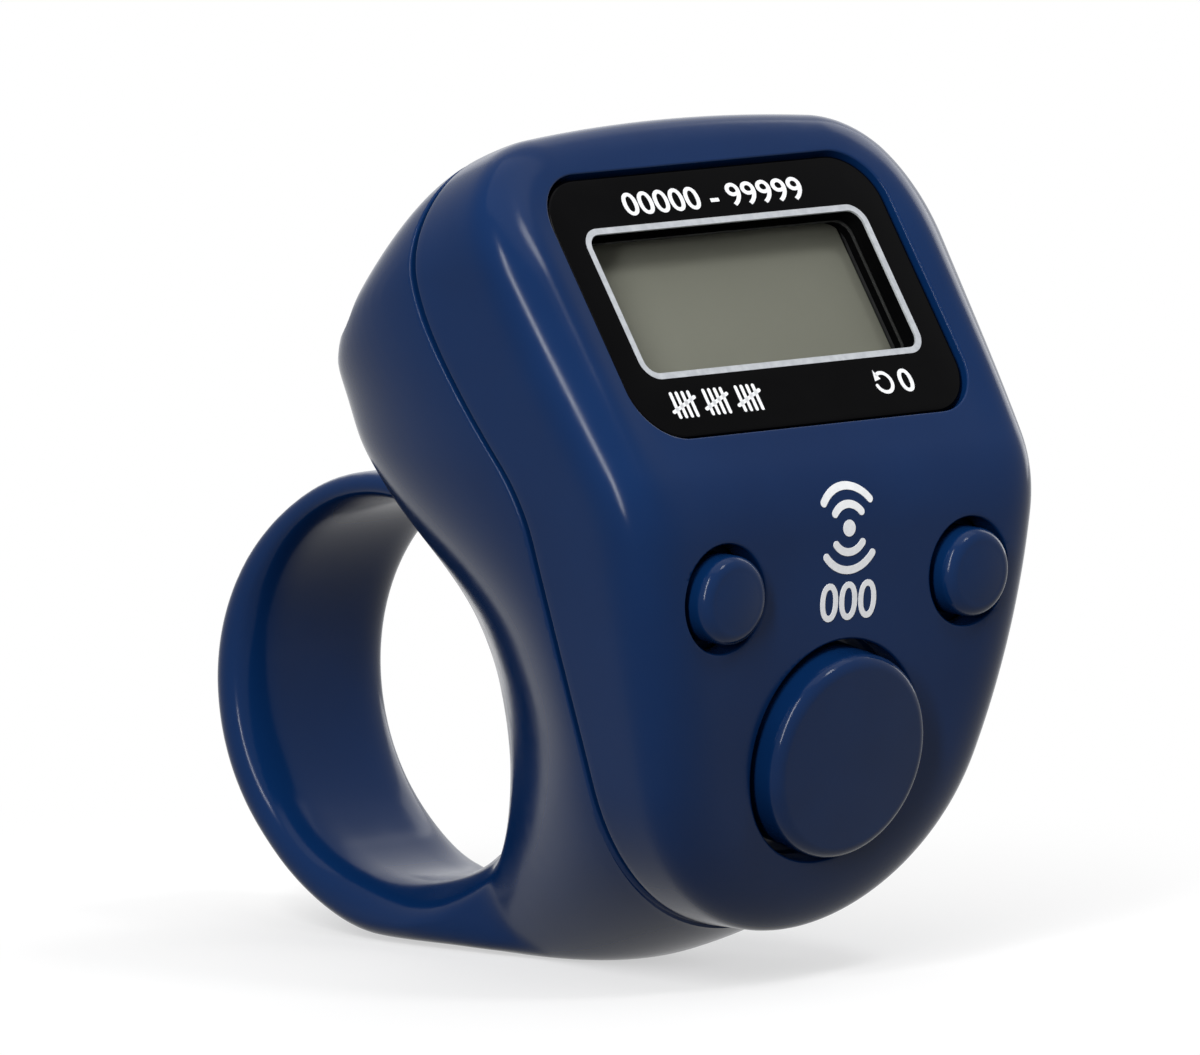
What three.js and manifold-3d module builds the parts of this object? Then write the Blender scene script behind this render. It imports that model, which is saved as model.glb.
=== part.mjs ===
// Finger-ring tally counter: a two-part moulded case whose back half carries the finger ring,
// a display behind a clear panel, three sprung push buttons and the boards and cell inside.
// Millimetres. +X is the wearer's right when reading the display, +Y points away, +Z is up.
// The design origin is the centre of the display panel; the finished group is moved so that
// the flat resting face under the ring lies at the origin.

import * as THREE from 'three';
import { mergeVertices } from 'three/addons/utils/BufferGeometryUtils.js';
import Module from 'manifold-3d';

const wasm = await Module();
wasm.setup();

const { lerp, smoothstep } = THREE.MathUtils;
const degrees = Math.PI / 180;

// Clearances

const gap = 0.3;                 // between two moulded pieces
const filmGap = 0.05;            // between stacked glass, films and soldered pieces
const panelGap = 0.15;           // round the display panel

// Case, seen from the front

const caseHalfWidth = 15.6;
const caseTopZ = 8.65;
const crownRadius = 100;         // the nearly flat top edge
const shoulderRadius = 6.5;      // upper corners
const chinRadius = 11.7;         // rounded lower end
const chinCentreZ = -20.4;

// Case, seen from the side

const screenTilt = 34.2 * degrees;
const screenEndZ = -7.7;         // below this the face bends down to the keys
const faceBendRadius = 7;
const keyFaceRadius = 62;
const frontRound = 4;            // edge round of the face
const frontSquareness = 2.7;     // superellipse power of that round
const topRoundShare = 0.5;       // the same round is tighter over the top edge
const sideDepthUpper = 9.2;      // from the face back to the parting line
const sideDepthLower = 3.5;
const sideDepthEndZ = -42;       // the depth would reach its lower value here, below the chin
const partingMaxY = 9.3;         // the parting line runs straight up behind this
const partingBlend = 1.6;
const crownFallStartY = 5;       // the top edge falls away behind here
const crownFallRate = 0.145;
const crownFallPower = 1.5;
const backRound = 5;             // how far the sides and top draw in towards the back
const neckHalfWidth = 3.6;       // lower down they draw in to the width of the neck
const neckFromZ = -6;            // between these heights
const neckFullZ = -25;
const neckTaper = 1.5;
const heelTaper = 2.3;           // how fast the underside drops behind the parting line
const neckSquareness = 5;        // superellipse power of the neck's underside
const neckBottomZ = -35.6;

// Walls of the two shells

const wall = 1.6;
const keyWall = 1.6;             // the face at the keys
const backWall = 1.5;
const innerRound = 1.2;
const cavityBottomZ = -28;       // the neck is solid below this
const tongueLength = 1.0;        // lip of the front shell inside the back shell
const tongueWall = 0.6;

// Finger ring

const boreRadius = 9.8;
const boreY = 22.5;
const boreZ = -21.8;
const ringHalfWidth = 5.4;
const ringWallTop = 1.5;         // the band is thickest at the back of the finger
const ringWallRear = 2.7;
const ringWallHeel = 2.2;
const ringRim = 1.5;
const ringEndAngle = 150;        // both ends of the band run on inside the neck
const boreFlare = 0.7;           // rounded edge where the bore meets the neck
const restZ = -34.6;             // flat resting face under the ring

// Display, as depths behind the face

const panelHalfWidth = 11.57;
const panelHalfHeight = 7.43;
const panelCorner = 2.8;
const panelSink = 0.25;
const panelThickness = 1.0;
const panelBevel = 0.2;
const adhesiveThickness = 0.15;
const shelfThickness = 0.8;
const windowHalfWidth = 9.5;
const windowHalfHeight = 4.0;
const windowCorner = 0.8;
const windowV = 0.23;            // centre of the window above the centre of the panel
const filmThickness = 0.2;
const glassThickness = 0.7;
const glassHalfWidth = 10;
const glassTop = 5.3;
const frontGlassBottom = -5.9;   // the front glass is longer and carries the contact ledge
const rearGlassBottom = -4.4;
const frameWall = 0.6;

// Boards and what is on them

const boardThickness = 1.0;
const mainBoardDepth = 4.9;
const mainBoardMargin = 0.25;    // it is this much wider than the display frame
const mainBoardHalfHeight = 8.8;
const postRadius = 0.9;
const pinRadius = 0.55;
const pinHoleRadius = 0.8;
const pinRise = 0.2;             // a pin stands this far out behind its board
const mainPost = { x: 9.6, v: 7.8 };
const keyBoardDepth = 7.4;       // behind the face at the count button
const keyBoardTilt = -6 * degrees;
const keyBoardTopZ = -11.3;
const keyBoardBottomZ = -27.6;
const keyBoardMargin = 1.5;      // between its edge and the inside of the case
const keyPosts = [{ x: 4.2, z: -13 }, { x: 8.2, z: -19.5 }];
const keyPostTop = 6.1;
const keyRib = { halfWidth: 0.5, bottom: -4, top: 3, back: 10 };
const cellRadius = 5.8;
const cellThickness = 3.05;
const cellV = 1.0;
const cellStandoff = 0.5;        // room for the contact under the cell
const clipThickness = 0.3;
const clipHalfWidth = 2.5;
const clipFoot = 1.2;
const chip = { x: 7.2, v: -6.5, radius: 1.8, height: 0.75 };
const cableHalfWidth = 2.4;
const cableThickness = 0.25;
const sounder = { x: -4.6, v: 5.6, half: 2.5, height: 2.2, hole: 0.5 };

// Push buttons, each on the face at its own place

const countKey = {
  name: 'count', x: 0, z: -22.65, radius: 5.35, rise: 1.1, flange: 0.65, bodyHalf: 3, plunger: 1.6,
};
const leftKey = {
  name: 'left', x: -8.53, z: -14.18, radius: 2.33, rise: 0.75, flange: 0.6, bodyHalf: 2.25, plunger: 1.1,
};
const rightKey = { ...leftKey, name: 'right', x: -leftKey.x };
const keyRim = 0.6;              // edge round of a cap
const keyDome = 0.12;
const flangeFront = 2.15;         // depths behind the face
const flangeBack = 2.8;
const stemBack = 3.3;
const plungerFront = 3.35;
const plungerLength = 1.6;
const switchFront = 4.0;
const switchWellDepth = 2.4;

// Case screws, along Y

const screw = { x: 12.6, z: -1, headRadius: 1.4, headHeight: 0.9, shankRadius: 0.6, tipY: 3.2 };
const screwSeatY = 10;
const screwBossRadius = 1.4;
const screwBossStartY = 0.8;
const screwBossEndY = 8.2;
const screwTubeRadius = 2.2;

// Outline of the case seen from the front, as tangent arcs from the top centre to the chin

function arcChain() {
  const cornerX = caseHalfWidth - shoulderRadius;
  const crownZ = caseTopZ - crownRadius;
  const cornerZ = crownZ + Math.sqrt((crownRadius - shoulderRadius) ** 2 - cornerX ** 2);
  const rise = cornerZ - chinCentreZ;
  const flankRadius = (caseHalfWidth ** 2 + rise ** 2 - chinRadius ** 2)
    / (2 * (caseHalfWidth - chinRadius));
  const flankX = caseHalfWidth - flankRadius;
  const crownEnd = Math.atan2(cornerZ - crownZ, cornerX);
  const flankEnd = Math.atan2(chinCentreZ - cornerZ, -flankX);
  return [
    { x: 0, z: crownZ, radius: crownRadius, from: Math.PI / 2, to: crownEnd, steps: 4 },
    { x: cornerX, z: cornerZ, radius: shoulderRadius, from: crownEnd, to: 0, steps: 6 },
    { x: flankX, z: cornerZ, radius: flankRadius, from: 0, to: flankEnd, steps: 13 },
    { x: 0, z: chinCentreZ, radius: chinRadius, from: flankEnd, to: -Math.PI / 2, steps: 7 },
  ];
}

function outlineStations() {
  const stations = [];
  for (const arc of arcChain()) {
    for (let step = stations.length ? 1 : 0; step <= arc.steps; step += 1) {
      const angle = lerp(arc.from, arc.to, step / arc.steps);
      const normal = new THREE.Vector2(Math.cos(angle), Math.sin(angle));
      stations.push({
        x: arc.x + arc.radius * normal.x,
        z: arc.z + arc.radius * normal.y,
        normal,
      });
    }
  }
  return stations;
}

const stations = outlineStations();
const chinZ = chinCentreZ - chinRadius;

// Side profiles of the case: the face, the parting line and the back, each a depth Y over Z

const bendArc = {
  y: Math.tan(screenTilt) * screenEndZ + faceBendRadius * Math.cos(screenTilt),
  z: screenEndZ - faceBendRadius * Math.sin(screenTilt),
};
const keyArc = { y: bendArc.y + keyFaceRadius - faceBendRadius, z: bendArc.z };

function faceY(z) {
  if (z > screenEndZ) return Math.tan(screenTilt) * z;
  if (z > bendArc.z) return bendArc.y - Math.sqrt(faceBendRadius ** 2 - (z - bendArc.z) ** 2);
  return keyArc.y - Math.sqrt(keyFaceRadius ** 2 - (z - keyArc.z) ** 2);
}

function softMin(a, b, blend) {
  return -blend * Math.log(Math.exp(-a / blend) + Math.exp(-b / blend));
}

function partingY(z) {
  const share = smoothstep(-z, -2, -sideDepthEndZ);
  const depth = lerp(sideDepthUpper, sideDepthLower, share);
  return softMin(faceY(z) + depth, partingMaxY, partingBlend);
}

const backCurve = new THREE.SplineCurve([
  new THREE.Vector2(11.4, 9.5),
  new THREE.Vector2(15.0, 7),
  new THREE.Vector2(17.5, 3),
  new THREE.Vector2(18.4, -2),
  new THREE.Vector2(17.8, -7),
  new THREE.Vector2(16.4, -10),
  new THREE.Vector2(15.3, -13),
  new THREE.Vector2(14.8, -16),
  new THREE.Vector2(14.6, -20),
  new THREE.Vector2(14.8, -24),
  new THREE.Vector2(15.8, -28),
  new THREE.Vector2(17, -31),
  new THREE.Vector2(17.4, -34),
  new THREE.Vector2(17.4, -36),
]).getPoints(120);

function backY(z) {
  const below = backCurve.findIndex((point) => point.y <= z);
  const a = backCurve[below - 1];
  const b = backCurve[below];
  return THREE.MathUtils.mapLinear(z, a.y, b.y, a.x, b.x);
}

// Behind the face the top edge falls away

function crownFall(y, z) {
  const share = smoothstep(z, -7, 6);
  return z - crownFallRate * Math.max(0, y - crownFallStartY) ** crownFallPower * share;
}

// A ring of points round the outline, drawn in by an inset and set at the depth yOf(z)

function inset(distance, topShare = 1) {
  return (station) => {
    const share = station.normal.y > 0 ? topShare : 1;
    return [
      station.x - distance * station.normal.x,
      station.z - distance * share * station.normal.y,
    ];
  };
}

function ringPoints(pointOf, yOf) {
  const half = stations.map(pointOf);
  half[0][0] = 0;
  half[half.length - 1][0] = 0;
  const loop = [...half, ...half.slice(1, -1).reverse().map(([x, z]) => [-x, z])];
  return { half, yOf, loop: loop.map(([x, z]) => place(x, z, yOf)) };
}

function place(x, z, yOf) {
  const y = yOf(z, x);
  return [x, y, crownFall(y, z)];
}

// Solids: every shape becomes a closed manifold for joining and cutting

function solidFrom(triangles) {
  const geometry = new THREE.BufferGeometry();
  geometry.setAttribute('position', new THREE.Float32BufferAttribute(triangles.flat(2), 3));
  return solid(geometry);
}

function solid(geometry) {
  const bare = geometry.clone();
  bare.deleteAttribute('normal');
  bare.deleteAttribute('uv');
  const merged = mergeVertices(bare, 1e-4);
  const points = merged.attributes.position;
  const corners = merged.index.array;
  const kept = [];
  const [p, q, r] = [new THREE.Vector3(), new THREE.Vector3(), new THREE.Vector3()];
  let volume = 0;
  for (let i = 0; i < corners.length; i += 3) {
    const [a, b, c] = corners.slice(i, i + 3);
    if (a === b || b === c || c === a) continue;
    p.fromBufferAttribute(points, a);
    q.fromBufferAttribute(points, b);
    r.fromBufferAttribute(points, c);
    volume += p.dot(q.cross(r));
    kept.push([a, b, c]);
  }
  const facing = volume > 0 ? kept : kept.map(([a, b, c]) => [a, c, b]);
  return new wasm.Manifold(new wasm.Mesh({
    numProp: 3,
    vertProperties: new Float32Array(points.array),
    triVerts: new Uint32Array(facing.flat()),
  }));
}

function sides(rings) {
  const triangles = [];
  for (let index = 0; index + 1 < rings.length; index += 1) {
    const near = rings[index];
    const far = rings[index + 1];
    for (let i = 0; i < near.length; i += 1) {
      const j = (i + 1) % near.length;
      triangles.push([near[i], near[j], far[j]], [near[i], far[j], far[i]]);
    }
  }
  return triangles;
}

// A closed body through convex rings of equal point counts

function loft(rings) {
  const triangles = sides(rings);
  const first = rings[0];
  const last = rings[rings.length - 1];
  for (let i = 1; i + 1 < first.length; i += 1) {
    triangles.push([first[0], first[i + 1], first[i]], [last[0], last[i], last[i + 1]]);
  }
  return solidFrom(triangles);
}

// A closed body through case outlines, with a gridded cap inside its first and last ring

function skin(rings, columns = 6) {
  return solidFrom([
    ...sides(rings.map((ring) => ring.loop)),
    ...cap(rings[0], columns, false),
    ...cap(rings[rings.length - 1], columns, true),
  ]);
}

function cap(ring, columns, flip) {
  const triangles = [];
  const rows = ring.half.map(([x, z]) => {
    const row = [];
    for (let column = 0; column <= columns; column += 1) {
      row.push(place(x * (2 * column / columns - 1), z, ring.yOf));
    }
    return row;
  });
  for (let row = 0; row + 1 < rows.length; row += 1) {
    for (let column = 0; column < columns; column += 1) {
      const a = rows[row][column];
      const b = rows[row][column + 1];
      const c = rows[row + 1][column + 1];
      const d = rows[row + 1][column];
      if (flip) triangles.push([a, b, c], [a, c, d]);
      else triangles.push([a, c, b], [a, d, c]);
    }
  }
  return triangles;
}

// Small bodies in a local frame whose Z points out of the face

function turned(profile, segments = 32) {
  const points = profile.map(([radius, height]) => new THREE.Vector2(radius, height));
  return solid(new THREE.LatheGeometry(points, segments).rotateX(Math.PI / 2));
}

function cylinder(radius, low, high, segments = 20) {
  return turned([[0, low], [radius, low], [radius, high], [0, high]], segments);
}

function block(halfX, [bottom, top], [low, high]) {
  const box = new THREE.BoxGeometry(2 * halfX, top - bottom, high - low);
  return solid(box.translate(0, (top + bottom) / 2, (high + low) / 2));
}

function roundedRect(halfX, halfY, corner, height, steps = 5) {
  const points = [];
  const quarters = [[1, 1], [-1, 1], [-1, -1], [1, -1]];
  quarters.forEach(([sideX, sideY], quarter) => {
    for (let step = 0; step <= steps; step += 1) {
      const angle = (quarter + step / steps) * Math.PI / 2;
      points.push([
        sideX * (halfX - corner) + corner * Math.cos(angle),
        sideY * (halfY - corner) + corner * Math.sin(angle),
        height,
      ]);
    }
  });
  return points;
}

function quarterArc(steps, pointAt) {
  return Array.from({ length: steps + 1 }, (_, k) => pointAt(k / steps * Math.PI / 2));
}

// Scene group, local frames and named meshes

const counter = new THREE.Group();

function faceFrame(x, y, z, tilt) {
  const frame = new THREE.Group();
  frame.position.set(x, y, z);
  frame.rotation.x = Math.PI / 2 - tilt;
  frame.updateMatrix();
  counter.add(frame);
  return frame;
}

function inCase(manifold, frame) {
  return manifold.transform(frame.matrix.elements);
}

function geometryOf(manifold) {
  const { vertProperties, triVerts } = manifold.getMesh();
  const geometry = new THREE.BufferGeometry();
  geometry.setAttribute('position', new THREE.BufferAttribute(vertProperties, 3));
  geometry.setIndex(new THREE.BufferAttribute(triVerts, 1));
  geometry.computeVertexNormals();
  return geometry;
}

function addMesh(name, manifold, { color, roughness, metalness = 0 }, parent = counter) {
  const material = new THREE.MeshStandardMaterial({ color, roughness, metalness });
  const mesh = new THREE.Mesh(geometryOf(manifold), material);
  mesh.name = name;
  parent.add(mesh);
}

const navyPlastic = { color: '#1f3458', roughness: 0.3 };
const blackPanel = { color: '#101112', roughness: 0.15 };
const adhesiveTape = { color: '#2b2b2b', roughness: 0.9 };
const displayFilm = { color: '#7d7f72', roughness: 0.35 };
const displayGlass = { color: '#8c9084', roughness: 0.1 };
const reflectorFoil = { color: '#a9aca6', roughness: 0.3, metalness: 0.6 };
const whitePlastic = { color: '#d9d9d4', roughness: 0.5 };
const zebraRubber = { color: '#3c3c42', roughness: 0.8 };
const greenBoard = { color: '#1f5a36', roughness: 0.45 };
const blackResin = { color: '#0c0c0d', roughness: 0.35 };
const cableFilm = { color: '#b9783a', roughness: 0.4 };
const switchPlastic = { color: '#1b1b1d', roughness: 0.5 };
const plungerPlastic = { color: '#5b2a24', roughness: 0.5 };
const cellSteel = { color: '#b8babc', roughness: 0.25, metalness: 1 };
const contactSteel = { color: '#c2c0b6', roughness: 0.3, metalness: 1 };
const screwSteel = { color: '#8d9094', roughness: 0.3, metalness: 1 };

// Depths and widths of the display stack

const panelBack = panelSink + panelThickness;
const recessDepth = panelBack + adhesiveThickness + 2 * filmGap;
const shelfBack = recessDepth + shelfThickness;
const screenWall = shelfBack / Math.cos(screenTilt);
const polarizerFront = shelfBack + filmGap;
const frontGlassFront = polarizerFront + filmThickness + filmGap;
const rearGlassFront = frontGlassFront + glassThickness + filmGap;
const reflectorFront = rearGlassFront + glassThickness + filmGap;
const mainBoardBack = mainBoardDepth + boardThickness;
const frameHalfWidth = glassHalfWidth + filmGap + frameWall;
const mainBoardHalfWidth = frameHalfWidth + mainBoardMargin;

// Local frames: the display, each push button and the key board

const screenFrame = faceFrame(0, 0, 0, screenTilt);

function keyFrame(key) {
  const rise = keyArc.z - key.z;
  const tilt = -Math.asin(rise / keyFaceRadius);
  return faceFrame(key.x, faceY(key.z), key.z, tilt);
}

const keys = [countKey, leftKey, rightKey].map((key) => ({ ...key, frame: keyFrame(key) }));

const keyBoardFrame = faceFrame(0, faceY(countKey.z) + keyBoardDepth, countKey.z, keyBoardTilt);

// Front shell: face, edge round, side wall and tongue

function between(nearY, farY, share) {
  return (z) => lerp(nearY(z), farY(z), share);
}

const roundSteps = 5;

function frontOuterRings() {
  const rings = [];
  for (let step = 0; step <= roundSteps; step += 1) {
    const angle = step / roundSteps * Math.PI / 2;
    const drawn = frontRound * (1 - Math.sin(angle) ** (2 / frontSquareness));
    const deep = frontRound * (1 - Math.cos(angle) ** (2 / frontSquareness));
    rings.push(ringPoints(
      inset(drawn, topRoundShare), between(faceY, partingY, deep / sideDepthUpper),
    ));
  }
  return rings;
}

function partingPlus(offset) {
  return (z) => partingY(z) + offset;
}

function faceInnerY(z) {
  return faceY(z) + lerp(keyWall, screenWall, smoothstep(z, -12, -6.5));
}

const frontOuter = skin([
  ...frontOuterRings(),
  ringPoints(inset(0), partingPlus(-gap / 2)),
  ringPoints(inset(wall - tongueWall), partingPlus(-gap / 2)),
  ringPoints(inset(wall - tongueWall), partingPlus(tongueLength)),
]);

const frontCavity = skin([
  ...quarterArc(3, (angle) => ringPoints(
    inset(wall + innerRound * (1 - Math.sin(angle))),
    (z) => faceInnerY(z) + innerRound * (1 - Math.cos(angle)),
  )),
  ringPoints(inset(wall), partingPlus(2 * tongueLength)),
]);

const panelRecess = loft([
  roundedRect(panelHalfWidth + panelGap, panelHalfHeight + panelGap, panelCorner, -recessDepth),
  roundedRect(panelHalfWidth + panelGap, panelHalfHeight + panelGap, panelCorner, 3),
]);

const panelWindow = loft([-shelfBack - 1, 0].map((height) => (
  roundedRect(windowHalfWidth, windowHalfHeight, windowCorner, height, 3)
))).translate([0, windowV, 0]);

function corners({ x, v }) {
  return [[x, v], [-x, v], [x, -v], [-x, -v]];
}

const mainPosts = corners(mainPost).flatMap(([x, v]) => [
  cylinder(postRadius, -mainBoardDepth + gap / 3, -recessDepth - shelfThickness / 2, 16)
    .translate([x, v, 0]),
  cylinder(pinRadius, -mainBoardBack - pinRise, -mainBoardDepth + gap, 12).translate([x, v, 0]),
]);

const keyPostPlaces = keyPosts.flatMap(({ x, z }) => {
  const v = (z - countKey.z) / Math.cos(keyBoardTilt);
  return [[x, v], [-x, v]];
});

const keyBoardPosts = keyPostPlaces.flatMap(([x, v]) => [
  cylinder(postRadius, gap / 3, keyPostTop, 16).translate([x, v, 0]),
  cylinder(pinRadius, -boardThickness - pinRise, gap, 12).translate([x, v, 0]),
]);

const screwFrames = [-1, 1].map((side) => faceFrame(side * screw.x, 0, screw.z, 0));

function buttonHole(key) {
  const radius = key.radius + gap;
  return turned([
    [0, -flangeBack], [radius, -flangeBack], [radius, -keyRim],
    [radius + 0.08, -keyRim / 2], [radius + 0.35, 0.02], [radius + 1.2, 0.6], [0, 0.6],
  ], key.name === 'count' ? 40 : 28);
}

let frontShell = frontOuter.subtract(frontCavity);
for (const post of mainPosts) frontShell = frontShell.add(inCase(post, screenFrame));
for (const post of keyBoardPosts) frontShell = frontShell.add(inCase(post, keyBoardFrame));
for (const frame of screwFrames) {
  const boss = cylinder(screwBossRadius, -screwBossEndY, -screwBossStartY, 20);
  const pilot = cylinder(screw.shankRadius + 0.1, -screwBossEndY - 1, -screw.tipY + gap, 16);
  frontShell = frontShell.add(inCase(boss, frame)).subtract(inCase(pilot, frame));
}
frontShell = frontShell
  .subtract(inCase(panelRecess, screenFrame))
  .subtract(inCase(panelWindow, screenFrame));
for (const key of keys) frontShell = frontShell.subtract(inCase(buttonHole(key), key.frame));
addMesh('front_shell', frontShell, navyPlastic);

// Back shell: from the parting line the outline draws in to a smaller one, rounded like a bullet

function backEnd(station, extra, bottomZ) {
  const [insetX, insetZ] = inset(backRound + extra)(station);
  const sunk = Math.max(0, (chinCentreZ - station.z) / chinRadius);
  const squared = Math.max(0, 1 - sunk ** neckSquareness) ** (1 / neckSquareness);
  const neckX = (neckHalfWidth - extra) * squared;
  const neckZ = sunk > 0 ? lerp(chinCentreZ, bottomZ, sunk) : station.z;
  const share = smoothstep(-station.z, -neckFromZ, -neckFullZ);
  return [lerp(insetX, neckX, share), lerp(insetZ, neckZ, share)];
}

function backRings(extra, bottomZ, startY, endY, steps) {
  const start = inset(extra);
  const rings = [ringPoints(start, startY)];
  for (let step = 1; step <= steps; step += 1) {
    const angle = step / steps * Math.PI / 2;
    const depth = Math.sin(angle);
    const pointOf = (station) => {
      const [startX, startZ] = start(station);
      const [x, z] = backEnd(station, extra, bottomZ);
      const drawn = lerp(1 - Math.cos(angle), depth ** neckTaper, smoothstep(-station.z, 8, 18));
      const dropped = 1 - (1 - depth) ** heelTaper;
      const fall = lerp(drawn, dropped, smoothstep(-station.z, -chinCentreZ, -chinCentreZ + 4));
      return [lerp(startX, x, drawn), lerp(startZ, z, fall)];
    };
    rings.push(ringPoints(pointOf, between(partingY, endY, depth)));
  }
  return rings;
}

function cavityBackY(z) {
  const level = Math.max(z, boreZ);
  const reach = (boreRadius + backWall) ** 2 - (level - boreZ) ** 2;
  const boreFront = reach > 0 ? boreY - Math.sqrt(reach) : Infinity;
  return Math.min(backY(level) - backWall, boreFront);
}

const backOuter = skin(backRings(0, neckBottomZ, partingPlus(gap / 2), backY, 8));
const backCavity = skin(backRings(wall, cavityBottomZ, partingPlus(-1), cavityBackY, 6));
const tongueRebate = skin([
  ringPoints(inset(wall - tongueWall - gap), partingPlus(-1)),
  ringPoints(inset(wall - tongueWall - gap), partingPlus(tongueLength + gap)),
]);

// Finger ring: a band swept round the bore

function bandOuterRadius(turn) {
  const upper = lerp(ringWallRear, ringWallTop, smoothstep(turn, -5, 60));
  const thickness = lerp(upper, ringWallHeel, smoothstep(-turn, 10, 60));
  if (turn > -60 || turn < -130) return boreRadius + thickness;
  const flat = (boreZ - restZ) / Math.abs(Math.sin(turn * degrees));
  return lerp(boreRadius + thickness, flat, smoothstep(-turn, 66, 92));
}

function bandSection(turn) {
  const angle = turn * degrees;
  const outer = bandOuterRadius(turn);
  const halfWidth = lerp(ringHalfWidth, neckHalfWidth, smoothstep(Math.abs(turn), 85, 140));
  const rim = Math.min(ringRim, (outer - boreRadius) / 2);
  const half = [
    ...quarterArc(3, (a) => [
      halfWidth - rim + rim * Math.sin(a), boreRadius + rim * (1 - Math.cos(a)),
    ]),
    ...quarterArc(3, (a) => [
      halfWidth - rim + rim * Math.cos(a), outer - rim * (1 - Math.sin(a)),
    ]),
  ];
  const loop = [...half, ...half.slice().reverse().map(([x, r]) => [-x, r])];
  return loop.map(([x, r]) => [
    x,
    boreY + r * Math.cos(angle),
    boreZ + r * Math.sin(angle),
  ]);
}

const bandSteps = 44;
const band = loft(Array.from({ length: bandSteps + 1 }, (_, step) => (
  bandSection(lerp(ringEndAngle, -ringEndAngle, step / bandSteps))
)));

const boreEdge = ringHalfWidth - boreFlare;
const bore = turned([
  [0, -caseHalfWidth],
  [boreRadius + boreFlare, -caseHalfWidth],
  ...quarterArc(3, (a) => [
    boreRadius - 0.02 + boreFlare * (1 - Math.sin(a)), -boreEdge - boreFlare * Math.cos(a),
  ]),
  ...quarterArc(3, (a) => [
    boreRadius - 0.02 + boreFlare * (1 - Math.cos(a)), boreEdge + boreFlare * Math.sin(a),
  ]),
  [boreRadius + boreFlare, caseHalfWidth],
  [0, caseHalfWidth],
], 64).rotate([0, 90, 0]).translate([0, boreY, boreZ]);

const keyRibBlock = block(
  keyRib.halfWidth, [keyRib.bottom, keyRib.top], [-keyRib.back, -boardThickness - gap / 3],
);

let backShell = backOuter.subtract(bore).add(band).subtract(backCavity)
  .add(inCase(keyRibBlock, keyBoardFrame));
for (const frame of screwFrames) {
  const tube = inCase(cylinder(screwTubeRadius, -20, -screwBossEndY - gap, 24), frame);
  const sink = cylinder(screw.headRadius + gap, -25, -screwSeatY, 24);
  const hole = cylinder(screw.shankRadius + gap / 2, -25, 0, 16);
  backShell = backShell.add(tube.intersect(backOuter)).subtract(inCase(sink.add(hole), frame));
}
backShell = backShell.subtract(tongueRebate).trimByPlane([0, 0, 1], restZ);
addMesh('back_shell', backShell, navyPlastic);

// Display: panel, tape, films, glass, frame and contact strip

function slab(halfX, [bottom, top], front, thickness) {
  return block(halfX, [bottom, top], [-front - thickness, -front]);
}

const panel = loft([
  roundedRect(panelHalfWidth, panelHalfHeight, panelCorner, -panelBack),
  roundedRect(panelHalfWidth, panelHalfHeight, panelCorner, -panelSink - panelBevel),
  roundedRect(
    panelHalfWidth - panelBevel, panelHalfHeight - panelBevel, panelCorner - panelBevel, -panelSink,
  ),
]);

const tapeFront = panelBack + filmGap;
const tape = loft([-tapeFront - adhesiveThickness, -tapeFront].map((height) => (
  roundedRect(panelHalfWidth - gap, panelHalfHeight - gap, panelCorner - gap, height)
))).subtract(panelWindow);

const glassMid = glassHalfWidth - gap;
const frontGlass = slab(glassHalfWidth, [frontGlassBottom, glassTop], frontGlassFront, glassThickness);
const rearGlass = slab(glassHalfWidth, [rearGlassBottom, glassTop], rearGlassFront, glassThickness);
const filmSpan = [rearGlassBottom + gap, glassTop - gap];
const frontFilm = slab(glassMid, filmSpan, polarizerFront, filmThickness);
const reflector = slab(glassMid, filmSpan, reflectorFront, filmThickness);

const ledgeSpan = [frontGlassBottom + filmGap, rearGlassBottom - gap];
const zebraDepth = mainBoardDepth - rearGlassFront - filmGap;
const zebra = slab(glassMid, ledgeSpan, rearGlassFront, zebraDepth);

const frameSpan = [frontGlassBottom - gap, glassTop + gap];
const frameDepth = mainBoardDepth - polarizerFront - filmGap;
const displayFrame = slab(
  frameHalfWidth,
  [frameSpan[0] - frameWall, frameSpan[1] + frameWall],
  polarizerFront,
  frameDepth,
).subtract(slab(glassHalfWidth + filmGap, frameSpan, 0, mainBoardDepth));

addMesh('display_panel', panel, blackPanel, screenFrame);
addMesh('panel_tape', tape, adhesiveTape, screenFrame);
addMesh('lcd_front_polarizer', frontFilm, displayFilm, screenFrame);
addMesh('lcd_front_glass', frontGlass, displayGlass, screenFrame);
addMesh('lcd_rear_glass', rearGlass, displayGlass, screenFrame);
addMesh('lcd_reflector', reflector, reflectorFoil, screenFrame);
addMesh('lcd_frame', displayFrame, whitePlastic, screenFrame);
addMesh('lcd_contact_strip', zebra, zebraRubber, screenFrame);

// Main board with its chip, the cell and the cell's two contacts

const boardSpan = [-mainBoardHalfHeight, mainBoardHalfHeight];
const mainBoard = corners(mainPost).reduce(
  (board, [x, v]) => board.subtract(cylinder(pinHoleRadius, -10, 0, 16).translate([x, v, 0])),
  slab(mainBoardHalfWidth, boardSpan, mainBoardDepth, boardThickness),
);
addMesh('main_board', mainBoard, greenBoard, screenFrame);

const chipFront = mainBoardBack + filmGap;
const chipBlob = turned([
  [0, -chipFront - chip.height],
  ...quarterArc(4, (a) => [
    chip.radius * Math.sin(a), -chipFront - chip.height * (0.15 + 0.85 * Math.cos(a)),
  ]).slice(1),
  [chip.radius, -chipFront],
  [0, -chipFront],
], 24).translate([chip.x, chip.v, 0]);
addMesh('chip_blob', chipBlob, blackResin, screenFrame);

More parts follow.
